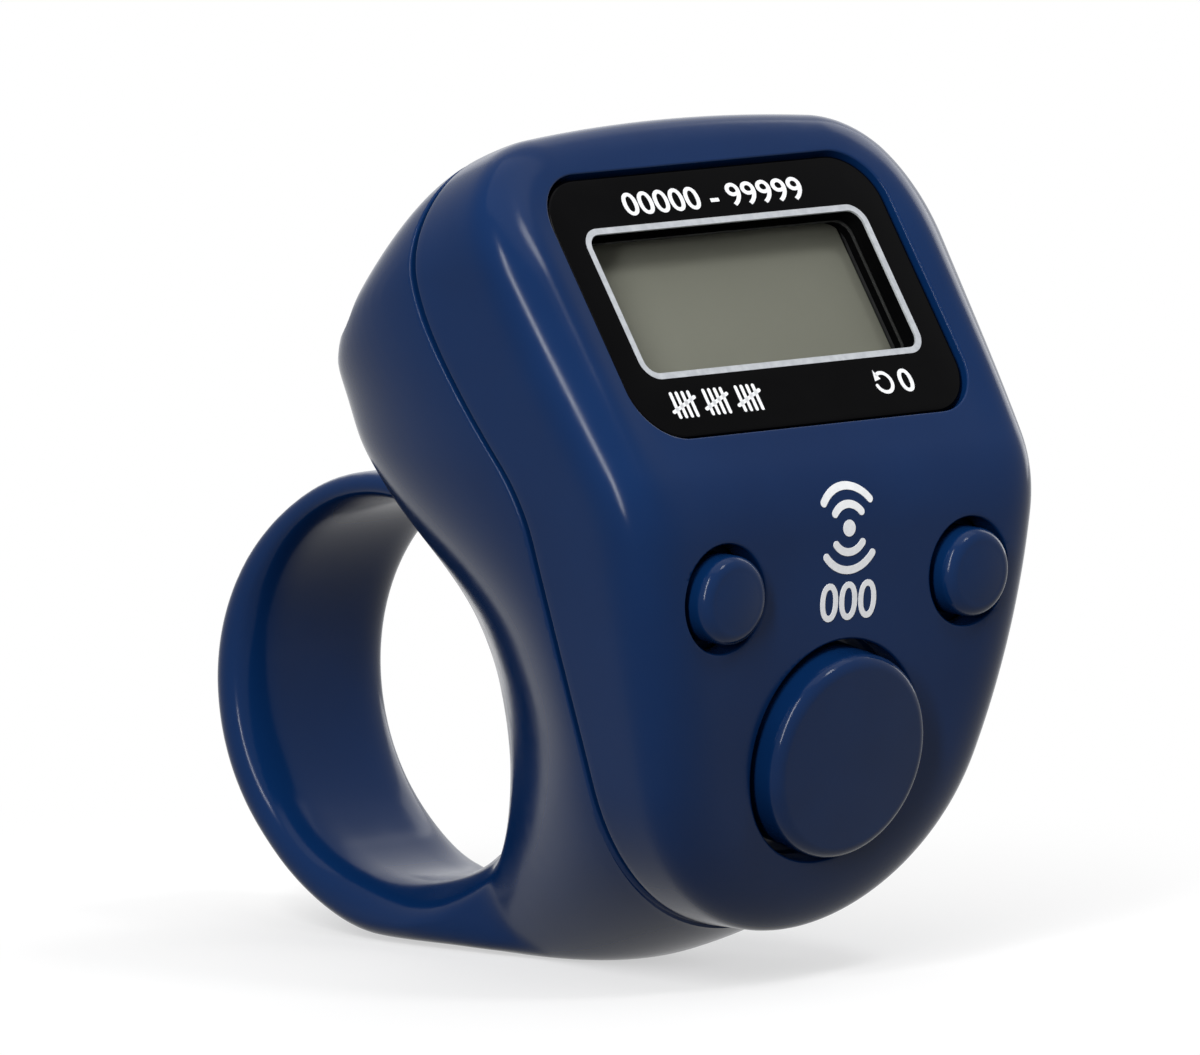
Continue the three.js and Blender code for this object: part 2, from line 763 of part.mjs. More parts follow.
const cellFront = mainBoardBack + cellStandoff;
const cellBack = cellFront + cellThickness;
const cell = turned([
  [0, -cellBack],
  [cellRadius - 0.3, -cellBack],
  [cellRadius, -cellBack + 0.3],
  [cellRadius, -cellFront - 0.9],
  [cellRadius - 0.35, -cellFront - 0.55],
  [cellRadius - 0.8, -cellFront - 0.5],
  [cellRadius - 0.8, -cellFront],
  [0, -cellFront],
], 40).translate([0, cellV, 0]);
addMesh('battery_cell', cell, cellSteel, screenFrame);

const minusSpring = turned([
  [1.2, -cellFront + filmGap],
  [3, -mainBoardBack - filmGap - 0.15],
  [3, -mainBoardBack - filmGap],
  [1.4, -mainBoardBack - filmGap],
  [1.0, -cellFront + filmGap + 0.15],
  [1.0, -cellFront + filmGap],
  [1.2, -cellFront + filmGap],
], 24).translate([0, cellV, 0]);
addMesh('battery_minus_contact', minusSpring, contactSteel, screenFrame);

const clipInner = cellRadius + gap;
const clipOuter = clipInner + clipThickness;
const clipBack = cellBack + filmGap;
const clipFront = mainBoardBack + filmGap;
const clipHalf = [
  [clipInner, -clipBack],
  [clipInner, -clipFront],
  [clipOuter + clipFoot, -clipFront],
  [clipOuter + clipFoot, -clipFront - clipThickness],
  [clipOuter, -clipFront - clipThickness],
  [clipOuter, -clipBack - clipThickness],
];
const clipOutline = [...clipHalf, ...clipHalf.map(([x, height]) => [-x, height]).reverse()];
const clipShape = new THREE.Shape(clipOutline.map(([x, height]) => new THREE.Vector2(x, height)));
const clip = solid(
  new THREE.ExtrudeGeometry(clipShape, { depth: 2 * clipHalfWidth, bevelEnabled: false })
    .rotateX(Math.PI / 2)
    .translate(0, cellV + clipHalfWidth, 0),
);
addMesh('battery_clip', clip, contactSteel, screenFrame);

// Key board, the cable between the boards, and the three switches

const boardInset = inset(wall + keyBoardMargin);
const boardProfile = skin([
  ringPoints(boardInset, () => -10),
  ringPoints(boardInset, () => crownFallStartY),
], 2);
const keyBoardSpan = [keyBoardBottomZ, keyBoardTopZ].map(
  (z) => (z - countKey.z) / Math.cos(keyBoardTilt),
);
const keyBoardTop = keyBoardSpan[1];
const keyBoardSlab = inCase(
  block(caseHalfWidth, keyBoardSpan, [-boardThickness, 0]),
  keyBoardFrame,
);
const keyBoard = keyPostPlaces.reduce((board, [x, v]) => board.subtract(
  inCase(cylinder(pinHoleRadius, -3, 3, 16).translate([x, v, 0]), keyBoardFrame),
), keyBoardSlab.intersect(boardProfile));
addMesh('key_board', keyBoard, greenBoard);

function toCase(frame, v, height) {
  return new THREE.Vector3(0, v, height).applyMatrix4(frame.matrix);
}

const cableOffset = filmGap + cableThickness / 2;
const cableEnd = -boardThickness - cableOffset;
const cablePath = new THREE.CatmullRomCurve3([
  toCase(screenFrame, -5.2, -mainBoardBack - cableOffset),
  toCase(screenFrame, -6.2, -mainBoardBack - cableOffset),
  toCase(screenFrame, -7.6, -mainBoardBack - 0.9),
  toCase(keyBoardFrame, keyBoardTop + 0.4, cableEnd - 0.25),
  toCase(keyBoardFrame, keyBoardTop - 1.2, cableEnd),
  toCase(keyBoardFrame, keyBoardTop - 2.4, cableEnd),
]);
const cableSteps = 16;
const cable = loft(Array.from({ length: cableSteps + 1 }, (_, step) => {
  const point = cablePath.getPoint(step / cableSteps);
  const along = cablePath.getTangent(step / cableSteps);
  const across = new THREE.Vector3(0, -along.z, along.y).multiplyScalar(cableThickness / 2);
  return [[-1, -1], [1, -1], [1, 1], [-1, 1]].map(([sideX, sideN]) => [
    sideX * cableHalfWidth, point.y + sideN * across.y, point.z + sideN * across.z,
  ]);
}));
addMesh('ribbon_cable', cable, cableFilm);

function switchSpot(key) {
  const top = toCase(key.frame, 0, -switchFront);
  const spot = top.applyMatrix4(keyBoardFrame.matrix.clone().invert());
  return [spot.x, spot.y, 0];
}

for (const key of keys) {
  const high = keyBoardDepth - switchFront;
  const well = cylinder(key.plunger + gap, high - switchWellDepth, high + 1, 20);
  const body = block(key.bodyHalf, [-key.bodyHalf, key.bodyHalf], [filmGap, high]).subtract(well);
  addMesh(`${key.name}_switch`, body.translate(switchSpot(key)), switchPlastic, keyBoardFrame);
  const plunger = cylinder(key.plunger, -plungerFront - plungerLength, -plungerFront, 20);
  addMesh(`${key.name}_plunger`, plunger, plungerPlastic, key.frame);
}

// Button caps: rounded and slightly domed, with a flange behind the face and a stem

function buttonCap(key) {
  const { radius, rise, flange, plunger } = key;
  return turned([
    [0, rise + keyDome],
    [(radius - keyRim) * 0.5, rise + keyDome * 0.75],
    ...quarterArc(4, (a) => [
      radius - keyRim + keyRim * Math.sin(a), rise - keyRim + keyRim * Math.cos(a),
    ]),
    [radius, -flangeFront],
    [radius + flange, -flangeFront],
    [radius + flange, -flangeBack],
    [radius - 0.9, -flangeBack],
    [radius - 0.9, -keyRim / 2],
    [plunger * 0.7, -keyRim / 2],
    [plunger * 0.7, -stemBack],
    [0, -stemBack],
  ], key.name === 'count' ? 40 : 28);
}

for (const key of keys) addMesh(`${key.name}_button`, buttonCap(key), navyPlastic, key.frame);

// Case screws, and the sounder on the back of the key board

function caseScrew() {
  const { headRadius, headHeight, shankRadius, tipY } = screw;
  const seat = screwSeatY + filmGap;
  const top = seat + headHeight;
  const body = turned([
    [0, -top],
    [headRadius - 0.3, -top],
    [headRadius, -top + 0.3],
    [headRadius, -seat],
    [shankRadius, -seat],
    [shankRadius, -tipY - 0.8],
    [0.1, -tipY - 0.1],
    [0, -tipY - 0.1],
  ], 20);
  const slot = block(0.2, [-0.8, 0.8], [-top - 1, -top + 0.5]);
  return body.subtract(slot).subtract(slot.rotate([0, 0, 90]));
}

['case_screw_left', 'case_screw_right'].forEach((name, side) => {
  addMesh(name, caseScrew(), screwSteel, screwFrames[side]);
});

const sounderBack = boardThickness + filmGap + sounder.height;
const sounderBody = block(sounder.half, [-sounder.half, sounder.half], [
  -sounderBack, -boardThickness - filmGap,
]).subtract(cylinder(sounder.hole, -sounderBack - 1, -sounderBack + 0.8, 16));
addMesh('sounder', sounderBody.translate([sounder.x, sounder.v, 0]), blackResin, keyBoardFrame);

// The finished part stands with its resting face at the origin

const restCentreY = (boreY + boreY - (boreZ - restZ)) / 2;
counter.position.set(0, -restCentreY, -restZ);
const part = new THREE.Group();
part.add(counter);

export default part;
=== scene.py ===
import math

import bmesh
import bpy
import numpy as np
from mathutils import Matrix, Vector


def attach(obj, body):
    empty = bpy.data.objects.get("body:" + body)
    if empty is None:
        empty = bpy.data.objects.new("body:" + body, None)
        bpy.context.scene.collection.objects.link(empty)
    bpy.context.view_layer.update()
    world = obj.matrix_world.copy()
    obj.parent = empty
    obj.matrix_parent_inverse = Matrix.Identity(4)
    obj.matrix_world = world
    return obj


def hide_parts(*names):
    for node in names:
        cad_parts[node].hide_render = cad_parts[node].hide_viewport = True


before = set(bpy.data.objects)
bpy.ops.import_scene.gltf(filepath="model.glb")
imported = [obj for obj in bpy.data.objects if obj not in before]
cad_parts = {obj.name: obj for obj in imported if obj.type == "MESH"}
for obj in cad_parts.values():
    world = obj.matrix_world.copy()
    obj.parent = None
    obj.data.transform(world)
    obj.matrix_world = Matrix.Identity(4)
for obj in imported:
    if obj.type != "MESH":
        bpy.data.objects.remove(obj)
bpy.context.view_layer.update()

# Sizes in millimetres, in the design frame: X to the wearer's right, Y away, Z up,
# with the origin in the middle of the display panel

FRAME_OFFSET = np.array([0.0, -16.1, 34.6])  # from the design frame to the part's own frame
MILLIMETRE = 0.001

GAP = 0.3
CASE_HALF_WIDTH = 15.6
CASE_TOP_Z = 8.65
CROWN_RADIUS = 100.0
SHOULDER_RADIUS = 6.5
CHIN_RADIUS = 12.0
CHIN_CENTRE_Z = -20.0

SCREEN_TILT = math.radians(34.2)
SCREEN_END_Z = -7.7
FACE_BEND_RADIUS = 7.0
KEY_FACE_RADIUS = 62.0
FRONT_ROUND = 4.0
FRONT_SQUARENESS = 2.7
TOP_ROUND_SHARE = 0.5
SIDE_DEPTH_UPPER = 9.2
SIDE_DEPTH_LOWER = 3.5
SIDE_DEPTH_FROM_Z = 2.0
SIDE_DEPTH_END_Z = -42.0
PARTING_MAX_Y = 9.3
PARTING_BLEND = 1.6
PARTING_EDGE = 0.18  # edge round on both sides of the parting line
CROWN_FALL_START_Y = 5.0
CROWN_FALL_RATE = 0.145
CROWN_FALL_POWER = 1.5
CROWN_FALL_Z = (-7.0, 6.0)  # heights between which the fall of the crown sets in

BACK_ROUND = 5.0
NECK_HALF_WIDTH = 3.6
NECK_FROM_Z = -9.5
NECK_FULL_Z = -24.0
NECK_TAPER = 1.5
HEEL_TAPER = 2.3
NECK_SQUARENESS = 5.0
NECK_BOTTOM_Z = -35.6
SIDE_TO_NECK = (8.0, 18.0)  # depths below the panel where the sides turn to the neck
HEEL_BLEND = 4.0
BACK_PROFILE = [  # depth Y of the back over height Z
    (11.4, 9.5), (15.0, 7.0), (17.5, 3.0), (18.4, -2.0), (17.8, -7.0), (16.4, -10.0), (15.3, -13.0),
    (14.8, -16.0), (14.6, -20.0), (14.8, -24.0), (15.8, -28.0), (17.0, -31.0), (17.4, -34.0),
    (17.4, -36.0),
]

WALL = 1.6
TONGUE_WALL = 0.6
TONGUE_LENGTH = 1.0
INNER_ROUND = 1.2
FACE_WALL = 1.6
SCREEN_WALL = 2.66
WALL_CHANGE_Z = (-12.0, -6.5)  # from the button face's wall to the screen's
BACK_WALL = 1.5
CAVITY_BOTTOM_Z = -28.0

BORE_RADIUS = 9.8
BORE_CLEAR = 0.12
BORE_Y = 22.5
BORE_Z = -21.8
RING_HALF_WIDTH = 5.4
RING_WALL_TOP = 1.5
RING_WALL_REAR = 2.7
RING_WALL_HEEL = 2.2
RING_RIM = 1.5
INNER_RIM = 2.6  # how far the ring's inner edge round reaches inwards
RING_END_ANGLE = 150.0
RING_TOP_TURNS = (-5, 60)  # turns round the bore: 0 at the rear, -90 below
RING_HEEL_TURNS = (10, 60)
RING_NECK_TURNS = (95, 148)
REST_TURNS = (40, 90)  # where the outer face turns flat for standing
REST_END_TURN = -130
BORE_NECK_ANGLES = (108, 124, 234, 250)  # where the bore is cut to its full size
BORE_CUTTER_HALF = 22.0
FRONT_CUTTER_Y = -40.0
REST_Z = -34.6
HEEL_OPENING = 0.6  # how far the heel's edge is drawn away from the bore
REST_SOFTNESS = 0.22  # how softly the underside runs into the resting face

# Smoothed zones of the back shell: the angles round the bore where a zone starts, is full, fades
# and ends, then the distances from the bore's axis and the widths over which it fades
MELT_ZONE = ((190, 220, 285, 310), (13.0, 14.5), (1.6, 2.8))
HEEL_ZONE = ((175, 215, 270, 300), (11.0, 12.0), (1.8, 3.0))
OPENING_ZONE = ((180, 225, 250, 285), (BORE_RADIUS + 0.4, BORE_RADIUS + 2.6), (1.5, 4.0))
RELAX_SHARE = 0.5  # how far a point moves to its neighbours in a round
STEP_ROUNDS = 14
MELT_ROUNDS = 50
EDGE_ROUNDS = 2
HEEL_ROUNDS = 60

PANEL_HALF = (11.57, 7.43)
PANEL_CORNER = 2.8
PANEL_GAP = 0.15
PANEL_SINK = 0.25
PANEL_THICKNESS = 1.0
PANEL_EDGE = 0.2
RECESS_DEPTH = 1.5
RECESS_LIP = 0.1
RECESS_CUTTER_TOP = (0.35, 3.0)
WINDOW_HALF = (9.5, 4.0)
WINDOW_CORNER = 0.8
WINDOW_V = 0.23
WINDOW_UNDERCUT = 0.35
WINDOW_CUTTER_BACK = 5.0
WINDOW_CUTTER_SPAN = (-3, 1)
WINDOW_PLAY = 0.01
WINDOW_FILM = (0.03, 0.005)  # depths of its two faces under the print
OUTLINE_WIDTH = 0.32
OUTLINE_INNER = 0.02
OUTLINE_BACK = 0.1
INK = 0.02  # printed marks stand this far out
PEN = 0.1  # half the width of a printed stroke
PEN_TIP_ANGLE = 0.12
PRINT_WEIGHT = 0.012  # how much bolder the numerals are than their outline
MARK_HALF = 0.66
RANGE_WIDTH = 12.5
RANGE_PLACE = (0.1, 5.72)
TALLY_GAP = 0.4
TALLY_STEP = 2.25
TALLY_OVERHANG = 0.28
TALLY_PLACE = (-5.83, -5.6)
ARROW_RADIUS = 0.55
ARROW_CENTRE = (-0.8, 0.0)
ARROW_HEAD = 0.3
NOUGHT_U = 0.75
NOUGHT_WIDTH = 0.95
RESET_PLACE = (6.7, -5.55)
WAVE_Z = -11.3
WAVE_DOT = 0.42
WAVE_RADII = (1.2, 2.1)
WAVE_SPREAD = 50  # degrees to both sides of a wave's middle
WAVE_PEN = 0.2
NUMBER_Z = -14.95
NUMBER_SIZE = (3.9, 1.95)

RIDGE_X = 13.2  # soft raised ridges left and right of the panel
RIDGE_HALF_WIDTH = 1.15
RIDGE_HEIGHT = 0.30
RIDGE_SPAN = (-12.0, -3.0, 1.7, 7.7)  # heights where they start, are full, fade and end

KEYS = {
    "count": {"x": 0.0, "z": -22.65, "radius": 5.35, "rise": 1.3, "flange": 0.65, "stem": 1.12},
    "left": {"x": -8.53, "z": -14.18, "radius": 2.33, "rise": 0.88, "flange": 0.6, "stem": 0.77},
    "right": {"x": 8.53, "z": -14.18, "radius": 2.33, "rise": 0.88, "flange": 0.6, "stem": 0.77},
}
KEY_RIM = 0.7
KEY_DOME = 0.12
KEY_WALL = 0.9
KEY_FACE_BACK = 0.3
FLANGE_FRONT = 2.15
FLANGE_BACK = 2.8
STEM_BACK = 3.3
HOLE_LIP = 0.16
HOLE_GAP = 0.42
HOLE_DEPTH = 6.0
HOLE_CUTTER_TOP = (0.12, 2.5)
CAP_DRAW = 0.08

SCREW_X = 12.6
SCREW_Z = -1.0
SCREW_SINK_RADIUS = 1.7
SCREW_SEAT_Y = 10.0
SCREW_HOLE_RADIUS = 0.75
SCREW_CUTTER_BACK = 25.0
BOSS_RADIUS = 2.2
BOSS_SPAN = (8.5, 12.5)  # front and back of the boss round a screw

OUTLINE_DETAIL = 6  # steps of the outline for each coarse step
OVERLAP = 1.0  # how far cutters reach past the parting line
PATCH_MERGE = 2e-4
POINT_MERGE = 1e-5
PRINT_MERGE = 1e-4
VOXEL = 0.2


def smoothstep(value, low, high):
    share = np.clip((np.asarray(value, float) - low) / (high - low), 0, 1)
    return share * share * (3 - 2 * share)


def lerp(a, b, share):
    return a + (b - a) * share


def plateau(value, start, full, fall, end):
    """Rises from 0 to 1 between start and full, and falls back between fall and end."""
    return smoothstep(value, start, full) * (1 - smoothstep(value, fall, end))


# Outline of the case seen from the front: tangent arcs from the top centre to the chin

def outline():
    corner_x = CASE_HALF_WIDTH - SHOULDER_RADIUS
    crown_z = CASE_TOP_Z - CROWN_RADIUS
    corner_z = crown_z + math.sqrt((CROWN_RADIUS - SHOULDER_RADIUS) ** 2 - corner_x ** 2)
    rise = corner_z - CHIN_CENTRE_Z
    flank_radius = (CASE_HALF_WIDTH ** 2 + rise ** 2 - CHIN_RADIUS ** 2) / (
        2 * (CASE_HALF_WIDTH - CHIN_RADIUS))
    flank_x = CASE_HALF_WIDTH - flank_radius
    crown_end = math.atan2(corner_z - crown_z, corner_x)
    flank_end = math.atan2(CHIN_CENTRE_Z - corner_z, -flank_x)
    arcs = [
        (0, crown_z, CROWN_RADIUS, math.pi / 2, crown_end, 5),
        (corner_x, corner_z, SHOULDER_RADIUS, crown_end, 0, 6),
        (flank_x, corner_z, flank_radius, 0, flank_end, 14),
        (0, CHIN_CENTRE_Z, CHIN_RADIUS, flank_end, -math.pi / 2, 8),
    ]
    rows = []
    for x, z, radius, start, end, steps in arcs:
        angles = np.linspace(start, end, steps * OUTLINE_DETAIL + 1)
        if rows:
            angles = angles[1:]
        nx, nz = np.cos(angles), np.sin(angles)
        rows.append(np.stack([x + radius * nx, z + radius * nz, nx, nz], axis=1))
    return np.concatenate(rows).T


EDGE_X, EDGE_Z, NORMAL_X, NORMAL_Z = outline()


# Side profiles: depth Y over height Z

BEND_Y = math.tan(SCREEN_TILT) * SCREEN_END_Z + FACE_BEND_RADIUS * math.cos(SCREEN_TILT)
BEND_Z = SCREEN_END_Z - FACE_BEND_RADIUS * math.sin(SCREEN_TILT)
KEY_ARC_Y = BEND_Y + KEY_FACE_RADIUS - FACE_BEND_RADIUS


def face_y(z):
    z = np.asarray(z, float)
    bend = BEND_Y - np.sqrt(np.maximum(FACE_BEND_RADIUS ** 2 - (z - BEND_Z) ** 2, 0))
    key = KEY_ARC_Y - np.sqrt(np.maximum(KEY_FACE_RADIUS ** 2 - (z - BEND_Z) ** 2, 0))
    return np.where(z > SCREEN_END_Z, math.tan(SCREEN_TILT) * z, np.where(z > BEND_Z, bend, key))


def parting_y(z):
    share = smoothstep(-z, -SIDE_DEPTH_FROM_Z, -SIDE_DEPTH_END_Z)
    ahead = face_y(z) + lerp(SIDE_DEPTH_UPPER, SIDE_DEPTH_LOWER, share)
    blend = np.exp(-ahead / PARTING_BLEND) + np.exp(-PARTING_MAX_Y / PARTING_BLEND)
    return -PARTING_BLEND * np.log(blend)


def spline_through(points, steps):
    """Catmull-Rom curve through the points."""
    knots = np.array(points, float)
    padded = np.vstack([knots[:1], knots, knots[-1:]])
    spots = np.linspace(0, len(knots) - 1, steps)
    index = np.minimum(spots.astype(int), len(knots) - 2)
    t = (spots - index)[:, None]
    a, b, c, d = (padded[index + k] for k in range(4))
    return 0.5 * (2 * b + (c - a) * t + (2 * a - 5 * b + 4 * c - d) * t ** 2
                  + (3 * b - a - 3 * c + d) * t ** 3)


BACK_CURVE = spline_through(BACK_PROFILE, 400)[::-1]


def back_y(z):
    return np.interp(z, BACK_CURVE[:, 1], BACK_CURVE[:, 0])


def crown_fall(y, z):
    depth = np.maximum(0, y - CROWN_FALL_START_Y) ** CROWN_FALL_POWER
    return z - CROWN_FALL_RATE * depth * smoothstep(z, *CROWN_FALL_Z)


def ridge_lift(x, z):
    """Height of the soft ridges beside the panel."""
    across = np.exp(-((np.abs(x) - RIDGE_X) / RIDGE_HALF_WIDTH) ** 2)
    return RIDGE_HEIGHT * across * plateau(z, *RIDGE_SPAN)


# Rings of points round the outline

def inset(distance, top_share=1.0):
    share = np.where(NORMAL_Z > 0, top_share, 1.0)
    return EDGE_X - distance * NORMAL_X, EDGE_Z - distance * share * NORMAL_Z


def placed(x, z, depth):
    y = depth(x, z)
    return np.stack([x, y, crown_fall(y, z)], axis=-1)


def ring(half, depth):
    x, z = half[0].copy(), half[1]
    x[0] = x[-1] = 0
    whole_x = np.concatenate([x, -x[-2:0:-1]])
    whole_z = np.concatenate([z, z[-2:0:-1]])
    return {"half": (x, z), "depth": depth, "loop": placed(whole_x, whole_z, depth)}


def loft_faces(count, points):
    index = np.arange(count * points).reshape(count, points)
    near, far = index[:-1], index[1:]
    return np.stack([near, np.roll(near, -1, 1), np.roll(far, -1, 1), far], -1).reshape(-1, 4)


def grid(rows):
    count, columns = rows.shape[:2]
    index = np.arange(count * columns).reshape(count, columns)
    faces = np.stack([index[:-1, :-1], index[:-1, 1:], index[1:, 1:], index[1:, :-1]], -1)
    return rows.reshape(-1, 3), faces.reshape(-1, 4)


def cap(edge, columns):
    """Gridded surface inside a ring, at the ring's own depth."""
    x, z = edge["half"]
    across = np.linspace(-1, 1, columns + 1)
    return grid(placed(x[:, None] * across, np.repeat(z[:, None], columns + 1, 1), edge["depth"]))


def add_object(name, data):
    thing = bpy.data.objects.new(name, data)
    bpy.context.scene.collection.objects.link(thing)
    return thing


def close_up(mesh, merge_distance, shortest_edge=None):
    """Merges shared points, drops tiny edges and turns the faces outwards."""
    work = bmesh.new()
    work.from_mesh(mesh)
    bmesh.ops.remove_doubles(work, verts=work.verts, dist=merge_distance)
    if shortest_edge:
        bmesh.ops.dissolve_degenerate(work, edges=work.edges, dist=shortest_edge)
    bmesh.ops.recalc_face_normals(work, faces=work.faces)
    if work.calc_volume(signed=True) < 0:
        bmesh.ops.reverse_faces(work, faces=work.faces)
    work.to_mesh(mesh)
    work.free()


def solid(name, parts):
    """Closed body from lists of points and faces that share their edges."""
    points, faces, offset = [], [], 0
    for part_points, part_faces in parts:
        points.append(part_points)
        faces.extend((part_faces + offset).tolist())
        offset += len(part_points)
    mesh = bpy.data.meshes.new(name)
    mesh.from_pydata(np.concatenate(points).tolist(), [], faces)
    close_up(mesh, PATCH_MERGE, POINT_MERGE)
    return add_object(name, mesh)


def skin(name, rings, front_columns=8, back_columns=8):
    loops = np.stack([edge["loop"] for edge in rings])
    return solid(name, [
        (loops.reshape(-1, 3), loft_faces(*loops.shape[:2])),
        cap(rings[0], front_columns),
        cap(rings[-1], back_columns),
    ])


def loft(name, loops):
    """Body through loops of equal point counts, closed by one flat face at each end."""
    loops = np.array(loops, float)
    count, points = loops.shape[:2]
    faces = loft_faces(count, points).tolist()
    mesh = bpy.data.meshes.new(name)
    ends = [list(range(points)), list(range((count - 1) * points, count * points))]
    mesh.from_pydata(loops.reshape(-1, 3).tolist(), [], faces + ends)
    close_up(mesh, POINT_MERGE)
    return add_object(name, mesh)


def evaluated_mesh(thing):
    bpy.context.view_layer.update()
    evaluated = thing.evaluated_get(bpy.context.evaluated_depsgraph_get())
    return bpy.data.meshes.new_from_object(evaluated)


def bake(thing):
    """Applies the modifiers of an object."""
    mesh = evaluated_mesh(thing)
    thing.modifiers.clear()
    thing.data = mesh
    return thing


def combine(thing, other, operation):
    step = thing.modifiers.new("combine", "BOOLEAN")
    step.operation = operation
    step.solver = "MANIFOLD"
    step.object = other
    bake(thing)
    bpy.data.objects.remove(other)
    return thing


def cut(thing, cutter):
    return combine(thing, cutter, "DIFFERENCE")


def join(thing, other):
    return combine(thing, other, "UNION")


def remesh(thing, voxel):
    step = thing.modifiers.new("remesh", "REMESH")
    step.mode = "VOXEL"
    step.voxel_size = voxel
    step.adaptivity = 0
    return bake(thing)


def points_of(mesh):
    flat = np.empty(len(mesh.vertices) * 3, np.float64)
    mesh.vertices.foreach_get("co", flat)
    return flat.reshape(-1, 3)


def store(mesh, points):
    mesh.vertices.foreach_set("co", points.astype(np.float32).ravel())
    mesh.update()


def relax(points, mesh, rounds, weight=1.0):
    """Moves every point towards the mean of its neighbours, by its own weight."""
    ends = np.empty(len(mesh.edges) * 2, np.int64)
    mesh.edges.foreach_get("vertices", ends)
    a, b = ends.reshape(-1, 2).T
    both = np.concatenate([a, b])
    count = np.bincount(both, minlength=len(points))[:, None]
    for _ in range(rounds):
        total = np.stack([
            np.bincount(a, points[b, axis], len(points)) + np.bincount(b, points[a, axis], len(points))
            for axis in range(3)
        ], axis=1)
        points = points + RELAX_SHARE * weight * (total / count - points)
    return points


# Local frames on the face: Z points out, Y up the face

def face_frame(x, y, z, tilt):
    return Matrix.Translation((x, y, z)) @ Matrix.Rotation(math.pi / 2 - tilt, 4, "X")


def key_frame(key):
    tilt = -math.asin((BEND_Z - key["z"]) / KEY_FACE_RADIUS)
    return face_frame(key["x"], float(face_y(key["z"])), key["z"], tilt)


SCREEN_FRAME = face_frame(0, 0, 0, SCREEN_TILT)


def move(thing, matrix):
    thing.data.transform(matrix)
    return thing


def turned(name, profile, segments=128):
    """Body of revolution about Z from (radius, height) pairs that start and end on the axis."""
    angles = np.linspace(0, 2 * math.pi, segments, endpoint=False)
    profile = np.array(profile, float)
    loops = np.stack([
        profile[:, 0:1] * np.cos(angles), profile[:, 0:1] * np.sin(angles),
        np.repeat(profile[:, 1:2], segments, 1),
    ], axis=-1)
    return solid(name, [(loops.reshape(-1, 3), loft_faces(*loops.shape[:2]))])


def quarter(steps):
    return np.linspace(0, math.pi / 2, steps + 1)


def rounded_rect(half, corner, height, steps=16, centre_v=0.0):
    points = []
    for number, (side_x, side_v) in enumerate([(1, 1), (-1, 1), (-1, -1), (1, -1)]):
        for angle in (number + np.linspace(0, 1, steps + 1)) * math.pi / 2:
            points.append((
                side_x * (half[0] - corner) + corner * math.cos(angle),
                side_v * (half[1] - corner) + corner * math.sin(angle) + centre_v,
                height,
            ))
    return points


def grown_rect(half, corner, grow, height, centre_v=0.0):
    return rounded_rect((half[0] + grow, half[1] + grow), corner + grow, height, centre_v=centre_v)


# Front shell

def front_rings():
    def from_face(share):
        def depth(x, z):
            lifted = face_y(z) - ridge_lift(x, z) * (1 - share) ** 3
            return lerp(lifted, parting_y(z), share)
        return depth

    def from_parting(offset):
        return lambda x, z: parting_y(z) + offset

    rings = []
    for angle in quarter(22):
        drawn = FRONT_ROUND * (1 - max(0, math.sin(angle)) ** (2 / FRONT_SQUARENESS))
        deep = FRONT_ROUND * (1 - max(0, math.cos(angle)) ** (2 / FRONT_SQUARENESS))
        rings.append(ring(inset(drawn, TOP_ROUND_SHARE), from_face(deep / SIDE_DEPTH_UPPER)))
    round_share = FRONT_ROUND / SIDE_DEPTH_UPPER
    edge = -GAP / 2 - PARTING_EDGE
    for step in range(1, 9):
        share = step / 8

        def side_depth(x, z, share=share):
            start = lerp(face_y(z), parting_y(z), round_share)
            return lerp(start, parting_y(z) + edge, share)

        rings.append(ring(inset(0), side_depth))
    for angle in quarter(5)[1:]:
        rings.append(ring(
            inset(PARTING_EDGE * (1 - math.cos(angle))),
            from_parting(edge + PARTING_EDGE * math.sin(angle)),
        ))
    rings.append(ring(inset(WALL - TONGUE_WALL), from_parting(-GAP / 2)))
    rings.append(ring(inset(WALL - TONGUE_WALL), from_parting(TONGUE_LENGTH)))
    rings.append(ring(inset(WALL), from_parting(TONGUE_LENGTH)))

    def inner(z):
        return face_y(z) + lerp(FACE_WALL, SCREEN_WALL, smoothstep(z, *WALL_CHANGE_Z))

    for angle in quarter(6)[::-1]:
        deep = INNER_ROUND * (1 - math.cos(angle))
        rings.append(ring(
            inset(WALL + INNER_ROUND * (1 - math.sin(angle))),
            lambda x, z, deep=deep: inner(z) + deep,
        ))
    return rings


def panel_recess():
    loops = [grown_rect(PANEL_HALF, PANEL_CORNER, PANEL_GAP, -RECESS_DEPTH)]
    for angle in quarter(6):
        loops.append(grown_rect(
            PANEL_HALF, PANEL_CORNER, PANEL_GAP + RECESS_LIP * (1 - math.cos(angle)),
            -RECESS_LIP * (1 - math.sin(angle)),
        ))
    for height in RECESS_CUTTER_TOP:
        loops.append(grown_rect(PANEL_HALF, PANEL_CORNER, PANEL_GAP + RECESS_LIP * 3, height))
    return move(loft("panel_recess", loops), SCREEN_FRAME)


def window_hole():
    loops = [
        grown_rect(WINDOW_HALF, WINDOW_CORNER, WINDOW_UNDERCUT, height, WINDOW_V)
        for height in (-WINDOW_CUTTER_BACK, 0)
    ]
    return move(loft("window_hole", loops), SCREEN_FRAME)


